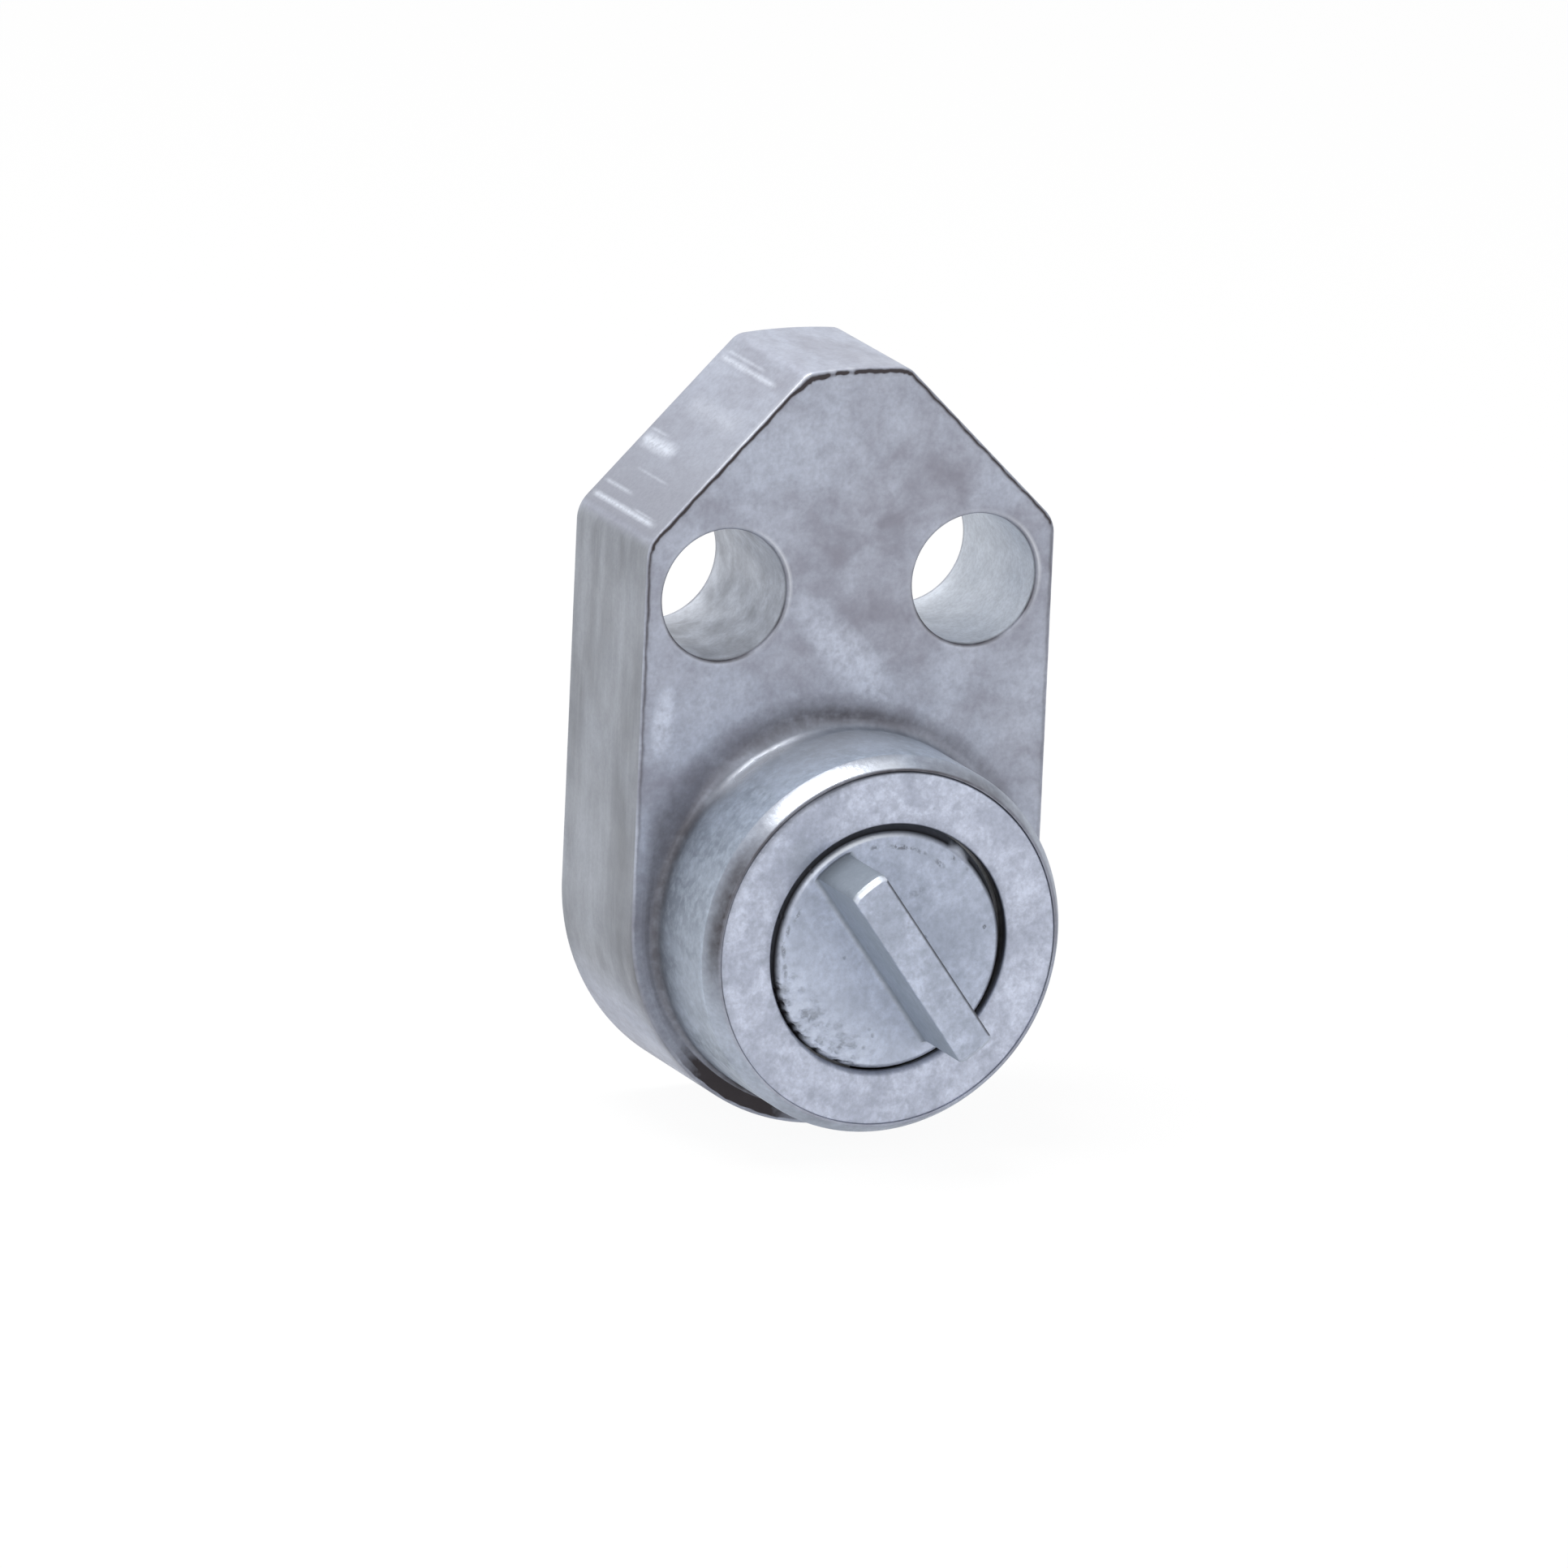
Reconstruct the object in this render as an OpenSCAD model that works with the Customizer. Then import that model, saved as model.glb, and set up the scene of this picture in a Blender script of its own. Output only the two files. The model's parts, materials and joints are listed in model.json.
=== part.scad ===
// Oval lock cylinder, seen in use with its key side towards +Y.
// The origin lies on the axis of the round boss, in the plane of the plate's inner face.
// +Z is up, from the boss towards the two fixing holes, and the boss points along -Y.
// Most pieces are drawn in a turned frame: its z runs out of the boss, its y points up.

/* [Plate] */
// Width of the plate across its parallel sides
plate_w = 32; // [31:0.1:40]
// Thickness of the plate
plate_t = 13; // [11:0.1:18]
// Height of the shoulders, where the sloping edges start, above the boss axis
shoulder_h = 28.4; // [26:0.1:36]
// Slope of the two upper edges, in degrees from the vertical
roof_angle = 45; // [35:1:55]
// Width of the top edge between the two slopes
top_w = 8; // [6:0.1:14]
// Rise of the crowned top edge at its middle
crown = 0.2; // [0.1:0.05:1.6]
// Radius of the two corners of the top edge
top_corner_r = 1.5; // [0.3:0.1:2]
// Radius of the two shoulders
shoulder_r = 2.5; // [0.5:0.1:3]
// Height of the centre of the rounded foot above the boss axis
foot_h = 0.5; // [0:0.1:2]

/* [Fixing holes] */
// Radius of the two fixing holes
hole_r = 4.85; // [2.5:0.05:5]
// Wall between a fixing hole and the side of the plate
hole_wall = 1.35; // [0.8:0.05:4]
// Distance of the holes' centres below the shoulders
hole_drop = 4; // [3:0.1:6]
// Chamfer at the mouths of the fixing holes
hole_chamfer = 0.15; // [0.1:0.05:0.5]

/* [Boss] */
// Radius of the round boss
boss_r = 14; // [13.8:0.05:15]
// Length of the boss from the plate to its edge
boss_l = 9.4; // [8:0.1:12]
// Length of the chamfer on the boss's edge
rim_l = 1.35; // [0.5:0.05:2]
// Thickness of the boss's wall round the core
boss_wall = 0.92; // [0.8:0.01:1.4]
// Width of the flat land left inside the chamfer
rim_land = 0.22; // [0.1:0.01:0.4]

/* [Core] */
// Depth of the core's end face inside the edge of the boss
core_sink = 0.1; // [0.05:0.05:0.5]
// Chamfer on the core's outer edge
core_chamfer = 0.15; // [0.1:0.05:0.4]
// Thickness of the lip that keeps the core from leaving on the key side
lip_t = 1.6; // [1.2:0.1:2.5]
// Wall of the core's nose, which fills the opening in the lip
nose_wall = 2.05; // [1.5:0.05:2.5]
// Clearance between the core and the plate's bore
seat_gap = 0.03; // [0.01:0.01:0.08]

/* [Plug] */
// Radius of the plug
plug_r = 6.5; // [6.2:0.05:6.8]
// Running clearance round the plug and its driver
run_gap = 0.05; // [0.02:0.01:0.1]
// Step from the plug to the flange at its key end
flange_step = 0.9; // [0.6:0.05:1.2]
// Thickness of that flange
flange_t = 1.2; // [0.8:0.05:1.4]
// Chamfer on the flange's edge
flange_chamfer = 0.35; // [0.1:0.05:0.5]
// Step from the plug to its thinner tail
tail_step = 2; // [1.6:0.1:2.4]
// Thickness of the tail's collar, which holds the clip
collar_t = 0.5; // [0.4:0.05:0.8]
// Free play of the plug along its axis
end_play = 0.1; // [0.05:0.05:0.2]

/* [Keyway] */
// Width of the keyway
keyway_w = 2.2; // [1.8:0.05:2.6]
// Wall left under the keyway
keyway_under = 1.3; // [0.8:0.05:1.8]
// Highest point of the keyway, above the axis
keyway_high = 3; // [2.4:0.05:3.6]
// Top of the right ward, below the axis
right_ward = 1.3; // [0.8:0.1:2]
// Foot of the left ward, below the axis
left_ward = 3.5; // [3:0.1:4]
// How far the wards reach into the keyway
ward_d = 0.7; // [0.3:0.05:0.9]
// Height of each ward
ward_h = 1.1; // [0.8:0.05:1.6]
// Wall left behind the tip of the key
keyway_wall = 0.8; // [0.5:0.1:1.2]

/* [Pins] */
// Radius of the pins
pin_r = 1.2; // [1:0.05:1.25]
// Clearance round a pin in its chamber
pin_gap = 0.05; // [0.02:0.01:0.08]
// Wall between the end chambers and the recesses in front of and behind them
chamber_wall = 0.85; // [0.6:0.05:1.1]
// Length of a driver pin
driver_pin_l = 3; // [2.8:0.1:3.4]
// Chamfer on the ends of the pins
pin_chamfer = 0.25; // [0.1:0.05:0.3]
// Length of the pointed tip of a key pin
tip_l = 0.75; // [0.5:0.05:1]
// Radius of the small flat at the end of that tip
tip_r = 0.45; // [0.3:0.05:0.6]
// Depth of the pin holes below the axis, where a dropped key pin comes to rest
pin_floor = 1.1; // [0.9:0.1:1.6]
// Height of the key's cut under the first pin
cut_1 = 1.2; // [0:0.1:2]
// Height of the key's cut under the second pin
cut_2 = 0.4; // [0:0.1:2]
// Height of the key's cut under the third pin
cut_3 = 1.6; // [0:0.1:2]
// Height of the key's cut under the fourth pin
cut_4 = 0; // [0:0.1:2]
// Height of the key's cut under the fifth pin
cut_5 = 0.8; // [0:0.1:2]

/* [Pin springs] */
// Diameter of the spring wire
wire_d = 0.26; // [0.2:0.01:0.28]
// Gap between a spring and the wall of its chamber
spring_gap = 0.12; // [0.08:0.01:0.2]
// Number of curls in each spring
curls = 4; // [3:1:4]
// Gap at each end of a spring
spring_end_gap = 0.03; // [0.02:0.01:0.1]

/* [Driver] */
// Radius of the driver's disc
driver_r = 9.1; // [8.8:0.05:9.2]
// Gap between the disc and the core round it
driver_gap = 0.25; // [0.15:0.05:0.6]
// Thickness of the disc
disc_t = 3.1; // [2.9:0.1:3.4]
// Depth of the disc's face inside the core's end face
disc_sink = 0.2; // [0:0.05:0.5]
// Chamfer on the disc's edge
disc_chamfer = 0.35; // [0.1:0.05:0.5]
// Width of the tongue across the disc
tongue_w = 2.9; // [2:0.1:4]
// Distance of the tongue's ends inside the edge of the disc
tongue_in = 1.1; // [0.5:0.05:2]
// Height of the tongue above the disc
tongue_h = 6.6; // [4:0.1:10]
// Fillet along the foot of the tongue
tongue_fillet = 0.4; // [0.2:0.05:0.8]
// Chamfer on the two ends of the tongue
tongue_chamfer = 0.45; // [0.2:0.05:0.8]
// Angle of the tongue at rest, in degrees from level
tongue_angle = -54.5; // [-90:0.5:90]
// Width of the plug's tenon in the driver
tenon_w = 4.4; // [3.6:0.1:5]
// Height of the tenon in the driver
tenon_h = 1.9; // [1.5:0.1:2.2]
// Clearance round the tenon and behind the disc
tenon_gap = 0.05; // [0.02:0.01:0.1]

/* [Retainers] */
// Thickness of the plug's clip
clip_t = 0.7; // [0.5:0.05:0.8]
// Lap of the plug's clip on the core
clip_lap = 0.65; // [0.4:0.05:1]
// Depth of the groove for the clip in the plug's tail
clip_groove = 0.8; // [0.5:0.05:0.9]
// Angle of the opening in the clip, in degrees
clip_open = 80; // [60:1:100]
// Thickness of the snap ring round the driver
ring_t = 0.7; // [0.5:0.05:0.9]
// Depth of the ring's groove in the driver
ring_groove_in = 0.5; // [0.3:0.05:0.6]
// Depth of the ring's groove in the core
ring_groove_out = 0.6; // [0.4:0.05:0.9]
// Angle of the opening in the snap ring, in degrees
ring_open = 24; // [15:1:40]
// Clearance round both retainers in their grooves
ring_gap = 0.1; // [0.05:0.01:0.15]
// Radius of the screw that locks the core
screw_r = 1.5; // [1.2:0.1:1.8]
// Length of that screw's threaded part
head_l = 2.3; // [1.6:0.1:2.3]
// Distance of that screw behind the plate's inner face
screw_back = 5.5; // [4:0.1:7]
// Length of the screw's point in the core
point_l = 1.2; // [0.8:0.1:1.8]
// Radius of the screw's point
point_r = 0.95; // [0.7:0.05:1.1]
// Size across the flats of the screw's socket
socket_af = 1.5; // [1.2:0.1:1.6]
// Depth of that socket
socket_h = 1.2; // [0.8:0.1:1.3]
// Radius of the two guard pins
guard_r = 0.9; // [0.6:0.05:1]
// Length of the guard pins
guard_l = 7; // [4:0.5:9]
// Distance of each guard pin from the middle
guard_x = 3.4; // [2.9:0.1:4.5]
// Depth of the guard pins' axes inside the core's round face
guard_in = 2.1; // [1.3:0.1:2.4]

/* [Hidden] */

$fn = 96;
// Cutters run past the faces that they cut by this much
over = 1;

// Outline of the plate
half_w = plate_w / 2;
half_top = top_w / 2;
hole_x = half_w - hole_wall - hole_r;
hole_h = shoulder_h - hole_drop;
roof_h = shoulder_h + (half_w - half_top) / tan(roof_angle);
crown_r = (half_top * half_top + crown * crown) / (2 * crown);
foot_low = foot_h - half_w;

// Each rounded corner of the outline: its centre, and the two points where its arc starts and ends
slope_out = [cos(roof_angle), sin(roof_angle)];
slope_up = [-sin(roof_angle), cos(roof_angle)];
shoulder_setback = shoulder_r * tan(roof_angle / 2);
shoulder_start = [half_w, shoulder_h - shoulder_setback];
shoulder_end = [half_w, shoulder_h] + slope_up * shoulder_setback;
shoulder_centre = shoulder_start - [shoulder_r, 0];
crown_centre = [0, roof_h + crown - crown_r];
to_slope = slope_out * ([half_top, roof_h] - crown_centre) - top_corner_r;
along_slope = sqrt(pow(crown_r - top_corner_r, 2) - to_slope * to_slope);
top_centre = crown_centre + slope_out * to_slope + slope_up * along_slope;
top_start = top_centre + slope_out * top_corner_r;
top_end = crown_centre + (top_centre - crown_centre) * crown_r / (crown_r - top_corner_r);

// Levels along the axis, measured out of the boss from the plate's inner face
key_face = -plate_t;
core_shoulder = key_face + lip_t;
core_face = boss_l - core_sink;
disc_face = core_face - disc_sink;
disc_back = disc_face - disc_t;
tail_face = disc_back - tenon_gap;
tenon_face = disc_back + tenon_h;
groove_end = tail_face - collar_t;
clip_back = groove_end - clip_t - ring_gap;
recess_floor = clip_back - end_play;
plug_shoulder = recess_floor;
flange_back = key_face + flange_t;
flange_floor = flange_back + end_play;
ring_mid = disc_back + disc_t / 2;
tongue_top = disc_face + tongue_h;

// Radii that follow from the fits
bore_r = boss_r - boss_wall;
core_r = bore_r - seat_gap;
plug_bore_r = plug_r + run_gap;
flange_r = plug_r + flange_step;
flange_bore_r = flange_r + run_gap;
nose_r = flange_bore_r + nose_wall;
lip_r = nose_r + seat_gap;
tail_r = plug_r - tail_step;
recess_r = driver_r + driver_gap;
chamber_r = pin_r + pin_gap;
ring_in_r = driver_r - ring_groove_in;
ring_out_r = recess_r + ring_groove_out;
clip_in_r = tail_r - clip_groove;
clip_r = plug_bore_r + clip_lap;
tongue_r = driver_r - tongue_in;
guard_h = sqrt(pow(core_r - guard_in, 2) - guard_x * guard_x);

// Pin stacks: places along the axis, and heights above it
cuts = [cut_1, cut_2, cut_3, cut_4, cut_5];
pins = len(cuts);
first_pin = flange_floor + chamber_wall + chamber_r;
last_pin = recess_floor - chamber_wall - chamber_r;
function pin_place(i) = first_pin + (last_pin - first_pin) * (i - 1) / (pins - 1);
chamber_top = sqrt(bore_r * bore_r - chamber_r * chamber_r);
key_pin_top = sqrt(plug_r * plug_r - pow(pin_r - pin_chamfer, 2)) - pin_gap / 5;
driver_pin_low = plug_bore_r;
driver_pin_top = driver_pin_low + driver_pin_l;
spring_low = driver_pin_top + spring_end_gap;
spring_high = chamber_top - spring_end_gap;

// Springs: the wire's path is a helix of six-sided rings
ring_sides = 6;
rings_per_curl = 8;
spring_rings = curls * rings_per_curl + 1;
spring_mean_r = chamber_r - spring_gap - wire_d / 2;
spring_pitch = (spring_high - spring_low - wire_d) / curls;

// Turns a shape whose z runs out of the boss into the part's frame
module out_of_boss() {
    rotate([90, 0, 0]) children();
}

// Lays a shape whose z is the height above the axis at a pin chamber
module in_chamber(i) {
    translate([0, -pin_place(i), 0]) children();
}

// Right half of the plate's outline, with every curve a true arc
module half_outline() {
    polygon([
        [0, foot_h], [half_w, foot_h], shoulder_start, shoulder_end, top_start, top_end,
        [0, top_end[1]]]);
    translate(shoulder_centre) circle(r = shoulder_r);
    translate(top_centre) circle(r = top_corner_r);
    intersection() {
        translate([0, foot_h]) circle(r = half_w);
        translate([0, foot_low - over]) square([half_w + over, foot_h - foot_low + over]);
    }
    intersection() {
        translate(crown_centre) circle(r = crown_r);
        translate([0, top_end[1]]) square([top_end[0], 2 * crown]);
    }
}

module plate_outline() {
    half_outline();
    mirror([1, 0]) half_outline();
}

// One of the two fixing holes, with a chamfer at each mouth
module fixing_hole() {
    translate([0, hole_h, key_face - over]) cylinder(r = hole_r, h = plate_t + 2 * over);
    for (face = [0, 1])
        translate([0, hole_h, -face * plate_t])
            mirror([0, 0, face])
                translate([0, 0, -hole_chamfer])
                    cylinder(r1 = hole_r, r2 = hole_r + 2 * hole_chamfer, h = 2 * hole_chamfer);
}

// Space for the screw that enters the foot of the plate
module screw_hole(r, from, to) {
    translate([0, from, -screw_back]) rotate([-90, 0, 0]) cylinder(r = r, h = to - from);
}

module housing() {
    color([0.66, 0.68, 0.73])
    out_of_boss()
    difference() {
        union() {
            translate([0, 0, key_face]) linear_extrude(plate_t) plate_outline();
            rotate_extrude()
                polygon([
                    [0, -over], [boss_r, -over], [boss_r, boss_l - rim_l],
                    [bore_r + rim_land, boss_l], [0, boss_l]]);
        }
        translate([0, 0, core_shoulder]) cylinder(r = bore_r, h = boss_l - core_shoulder + over);
        translate([0, 0, key_face - over]) cylinder(r = lip_r, h = lip_t + 2 * over);
        for (x = [-hole_x, hole_x]) translate([x, 0, 0]) fixing_hole();
        screw_hole(screw_r, foot_low - over, 0);
    }
}

module core() {
    color([0.74, 0.76, 0.80])
    out_of_boss()
    difference() {
        rotate_extrude()
            polygon([
                [plug_bore_r, key_face], [nose_r, key_face], [nose_r, core_shoulder],
                [core_r, core_shoulder], [core_r, core_face - core_chamfer],
                [core_r - core_chamfer, core_face], [plug_bore_r, core_face]]);
        translate([0, 0, key_face - over]) cylinder(r = flange_bore_r, h = flange_floor - key_face + over);
        translate([0, 0, recess_floor]) cylinder(r = recess_r, h = boss_l);
        translate([0, 0, ring_mid - ring_t / 2 - ring_gap])
            cylinder(r = ring_out_r, h = ring_t + 2 * ring_gap);
        for (i = [1:pins])
            translate([0, 0, pin_place(i)]) rotate([-90, 0, 0]) cylinder(r = chamber_r, h = core_r + over);
        for (x = [-1, 1])
            translate([x * guard_x, guard_h, core_shoulder - over])
                cylinder(r = guard_r + seat_gap, h = guard_l + seat_gap + over);
        screw_hole(point_r + seat_gap, -core_r - over, point_l + seat_gap - core_r);
    }
}

// Section of the keyway, with one ward on each side
module keyway_section() {
    half = keyway_w / 2;
    low = keyway_under - plug_r;
    difference() {
        translate([-half, low]) square([keyway_w, keyway_high - low]);
        translate([half - ward_d, -right_ward - ward_h]) square([keyway_w, ward_h]);
        translate([-half + ward_d - keyway_w, -left_ward]) square([keyway_w, ward_h]);
    }
}

module plug() {
    color([0.80, 0.72, 0.50])
    out_of_boss()
    difference() {
        rotate_extrude()
            polygon([
                [0, key_face], [flange_r - flange_chamfer, key_face],
                [flange_r, key_face + flange_chamfer], [flange_r, flange_back],
                [plug_r, flange_back], [plug_r, plug_shoulder],
                [clip_in_r, plug_shoulder], [clip_in_r, groove_end],
                [tail_r, groove_end], [tail_r, tenon_face], [0, tenon_face]]);
        for (side = [0, 180])
            rotate([0, 0, tongue_angle + side])
                translate([-tail_r - over, tenon_w / 2, tail_face])
                    cube([2 * (tail_r + over), tail_r, tenon_h + tenon_gap + over]);
        translate([0, 0, key_face - over])
            linear_extrude(over + plug_shoulder - keyway_wall - key_face) keyway_section();
        for (i = [1:pins])
            translate([0, -pin_floor, pin_place(i)])
                rotate([-90, 0, 0]) cylinder(r = chamber_r, h = plug_r + pin_floor + over);
    }
}

// Section across the tongue, with a fillet on each side of its foot
module tongue_section() {
    half = tongue_w / 2;
    translate([-half, -disc_t / 2]) square([tongue_w, tongue_h + disc_t / 2]);
    for (side = [-1, 1])
        difference() {
            translate([side * (half + tongue_fillet / 2) - tongue_fillet / 2, 0]) square(tongue_fillet);
            translate([side * (half + tongue_fillet), tongue_fillet]) circle(r = tongue_fillet);
        }
}

module driver() {
    color([0.67, 0.70, 0.76])
    out_of_boss()
    rotate([0, 0, tongue_angle])
    difference() {
        union() {
            rotate_extrude()
                polygon([
                    [0, disc_back], [driver_r, disc_back],
                    [driver_r, ring_mid - ring_t / 2 - ring_gap],
                    [ring_in_r, ring_mid - ring_t / 2 - ring_gap],
                    [ring_in_r, ring_mid + ring_t / 2 + ring_gap],
                    [driver_r, ring_mid + ring_t / 2 + ring_gap],
                    [driver_r, disc_face - disc_chamfer], [driver_r - disc_chamfer, disc_face],
                    [0, disc_face]]);
            intersection() {
                translate([-driver_r, 0, disc_face])
                    rotate([90, 0, 90]) linear_extrude(2 * driver_r) tongue_section();
                rotate_extrude()
                    polygon([
                        [0, ring_mid], [tongue_r, ring_mid], [tongue_r, tongue_top - tongue_chamfer],
                        [tongue_r - tongue_chamfer, tongue_top], [0, tongue_top]]);
            }
        }
        intersection() {
            slot_w = tenon_w + 2 * tenon_gap;
            translate([-driver_r, -slot_w / 2, disc_back - over])
                cube([2 * driver_r, slot_w, tenon_h + tenon_gap + over]);
            cylinder(r = tail_r + tenon_gap, h = tongue_top);
        }
    }
}

// An open flat ring, its opening centred on the given angle
module open_ring(inner, outer, thickness, opening, facing) {
    rotate([0, 0, facing + opening / 2])
        rotate_extrude(angle = 360 - opening)
            translate([inner, 0]) square([outer - inner, thickness]);
}

module plug_clip() {
    color([0.45, 0.46, 0.48])
    out_of_boss()
    translate([0, 0, clip_back])
        open_ring(clip_in_r + ring_gap / 2, clip_r, clip_t, clip_open, tongue_angle);
}

module driver_ring() {
    color([0.40, 0.41, 0.43])
    out_of_boss()
    translate([0, 0, ring_mid - ring_t / 2])
        open_ring(ring_in_r + ring_gap, ring_out_r - ring_gap / 2, ring_t, ring_open, -90);
}

// Grub screw in the foot of the plate; its point sits in the core
module core_screw() {
    head_high = -bore_r;
    head_low = head_high - head_l;
    socket_r = socket_af / 2 / cos(30);
    color([0.25, 0.26, 0.28])
    out_of_boss()
    difference() {
        union() {
            screw_hole(screw_r - seat_gap, head_low, head_high);
            screw_hole(point_r, head_high - over, point_l - core_r);
        }
        translate([0, head_low - over, -screw_back])
            rotate([-90, 0, 0]) cylinder(r = socket_r, h = over + socket_h, $fn = 6);
    }
}

// Hardened pin beside the first chambers; side is -1 for the left one and 1 for the right one
module guard_pin(side) {
    color([0.30, 0.31, 0.33])
    out_of_boss()
    translate([side * guard_x, guard_h, core_shoulder + seat_gap])
        cylinder(r = guard_r, h = guard_l - seat_gap);
}

// Turned key pin: a flat top just under the plug's surface, and a pointed tip on the key's cut
module key_pin(i) {
    low = cuts[i - 1];
    color([0.82, 0.70, 0.42])
    in_chamber(i)
        rotate_extrude()
            polygon([
                [0, low], [tip_r, low], [pin_r, low + tip_l],
                [pin_r, key_pin_top - pin_chamfer], [pin_r - pin_chamfer, key_pin_top],
                [0, key_pin_top]]);
}

// Turned driver pin, which stands on the shear line
module driver_pin(i) {
    color([0.62, 0.63, 0.66])
    in_chamber(i)
        rotate_extrude()
            polygon([
                [0, driver_pin_low], [pin_r - pin_chamfer, driver_pin_low],
                [pin_r, driver_pin_low + pin_chamfer], [pin_r, driver_pin_top - pin_chamfer],
                [pin_r - pin_chamfer, driver_pin_top], [0, driver_pin_top]]);
}

function unit(v) = v / norm(v);

// Middle of the wire at ring k of a spring
function wire_point(k) =
    let (a = 360 * k / rings_per_curl)
    [spring_mean_r * cos(a), spring_mean_r * sin(a),
     spring_low + wire_d / 2 + spring_pitch * k / rings_per_curl];

// The six corners of ring k, square to the wire
function wire_ring(k) =
    let (
        a = 360 * k / rings_per_curl,
        outward = [cos(a), sin(a), 0],
        along = unit([-sin(a), cos(a), spring_pitch / (2 * PI * spring_mean_r)]),
        across = cross(along, outward)
    )
    [for (s = [0:ring_sides - 1])
        let (b = 360 * s / ring_sides)
        wire_point(k) + (outward * cos(b) + across * sin(b)) * wire_d / 2];

// Coil spring over driver pin i, one unbroken tube
module pin_spring(i) {
    corners = [for (k = [0:spring_rings - 1]) each wire_ring(k)];
    last = (spring_rings - 1) * ring_sides;
    walls = [for (k = [0:spring_rings - 2], s = [0:ring_sides - 1])
        let (
            a = k * ring_sides + s,
            b = k * ring_sides + (s + 1) % ring_sides
        )
        each [[a, a + ring_sides, b], [b, a + ring_sides, b + ring_sides]]];
    start_cap = [for (s = [1:ring_sides - 2]) [0, s, s + 1]];
    end_cap = [for (s = [1:ring_sides - 2]) [last, last + s + 1, last + s]];
    color([0.55, 0.56, 0.58])
    in_chamber(i) polyhedron(points = corners, faces = concat(walls, start_cap, end_cap));
}

// Least gap from a spring's wire to its own next curls, measured between the rings' middles
spring_gaps = [for (j = [0:spring_rings - 1], k = [j + ring_sides:1:spring_rings - 1])
    norm(wire_point(j) - wire_point(k)) - wire_d];
echo(least_spring_gap = min(spring_gaps));

housing();
core();
plug();
driver();
plug_clip();
driver_ring();
core_screw();
guard_pin(-1);  // guard_pin_left
guard_pin(1);  // guard_pin_right
for (i = [1:pins]) {
    key_pin(i);
    driver_pin(i);
    pin_spring(i);
}
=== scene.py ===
"""Looks of the oval lock cylinder: bare die castings, a turned plug, and plain studio light."""
import json
import math

import bmesh
import bpy
from mathutils import Matrix, Vector


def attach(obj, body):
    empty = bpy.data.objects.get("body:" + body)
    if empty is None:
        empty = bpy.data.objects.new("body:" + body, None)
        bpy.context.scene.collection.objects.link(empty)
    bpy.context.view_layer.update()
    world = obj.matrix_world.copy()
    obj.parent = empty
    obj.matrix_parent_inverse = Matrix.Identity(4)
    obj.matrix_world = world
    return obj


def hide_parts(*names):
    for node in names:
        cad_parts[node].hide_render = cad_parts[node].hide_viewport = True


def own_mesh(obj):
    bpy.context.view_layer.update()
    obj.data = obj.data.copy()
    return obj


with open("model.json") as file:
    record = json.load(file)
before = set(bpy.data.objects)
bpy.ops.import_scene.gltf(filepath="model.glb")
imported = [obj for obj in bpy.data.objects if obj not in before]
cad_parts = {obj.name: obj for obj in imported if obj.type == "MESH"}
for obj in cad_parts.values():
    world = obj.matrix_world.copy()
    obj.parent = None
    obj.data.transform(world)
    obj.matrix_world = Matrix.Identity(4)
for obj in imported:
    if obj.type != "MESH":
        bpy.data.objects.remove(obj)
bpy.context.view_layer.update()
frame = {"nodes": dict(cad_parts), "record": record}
NODES = frame["nodes"]
SCENE = bpy.context.scene

# Sizes repeated from the part's source, in millimetres
HALF_W = 16.0
SHOULDER_H, ROOF, HALF_TOP, CROWN = 28.4, math.radians(45), 4.0, 0.2
TOP_R, SHOULDER_R, FOOT_H = 1.5, 2.5, 0.5
HOLE_R, HOLE_X, HOLE_H, HOLE_CHAMFER = 4.85, 9.8, 24.4, 0.15
BOSS_R, BOSS_L, RIM_L, BORE_R, RIM_LAND = 14.0, 9.4, 1.35, 13.08, 0.22
KEY_FACE, CORE_SHOULDER, LIP_R = -13.0, -11.4, 9.53
CORE_R, CORE_FACE, CORE_CHAMFER, NOSE_R = 13.05, 9.3, 0.15, 9.5
PLUG_BORE_R, FLANGE_BORE_R, FLANGE_FLOOR = 6.55, 7.45, -11.7
RECESS_R, RECESS_FLOOR = 9.35, 4.55
DRIVER_R, DISC_BACK, DISC_FACE, DISC_CHAMFER = 9.1, 6.0, 9.1, 0.35
RING_MID, RING_HALF, RING_IN, RING_OUT = 7.55, 0.45, 8.6, 9.95
TONGUE_R, TONGUE_HALF, TONGUE_TOP, TONGUE_CHAMFER = 8.0, 1.45, 15.7, 0.45
TONGUE_FILLET, TONGUE_TURN = 0.4, math.radians(-54.5)
TENON_HALF, TENON_H, TAIL_R = 2.25, 1.95, 4.55
SCREW_R, SCREW_BACK, POINT_R, POINT_IN = 1.5, 5.5, 0.98, 1.23
CHAMBER_R, CHAMBERS = 1.25, [-9.6 + 3.0125 * i for i in range(5)]
GUARD_R, GUARD_X, GUARD_H, GUARD_END = 0.93, 3.4, 10.4, -4.37

# Points in a turned ring and in a ring of a fixing hole, and steps of a rounded corner
TURN, HOLE_TURN, ROUND_STEPS = 144, 96, 4


# Places and profiles

def at(x, high, out):
    """A point of the part, from millimetres across, up, and out of the boss."""
    return Vector((x, -out, high)) / 1000


def value(v, place):
    return v(place) if callable(v) else v


def turned_about(p, turn):
    c, s = math.cos(turn), math.sin(turn)
    return Vector((p[0] * c - p[1] * s, p[0] * s + p[1] * c))


def spread(a, b, n):
    """From a to b in n even steps."""
    return [a + (b - a) * i / n for i in range(n + 1)]


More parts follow.
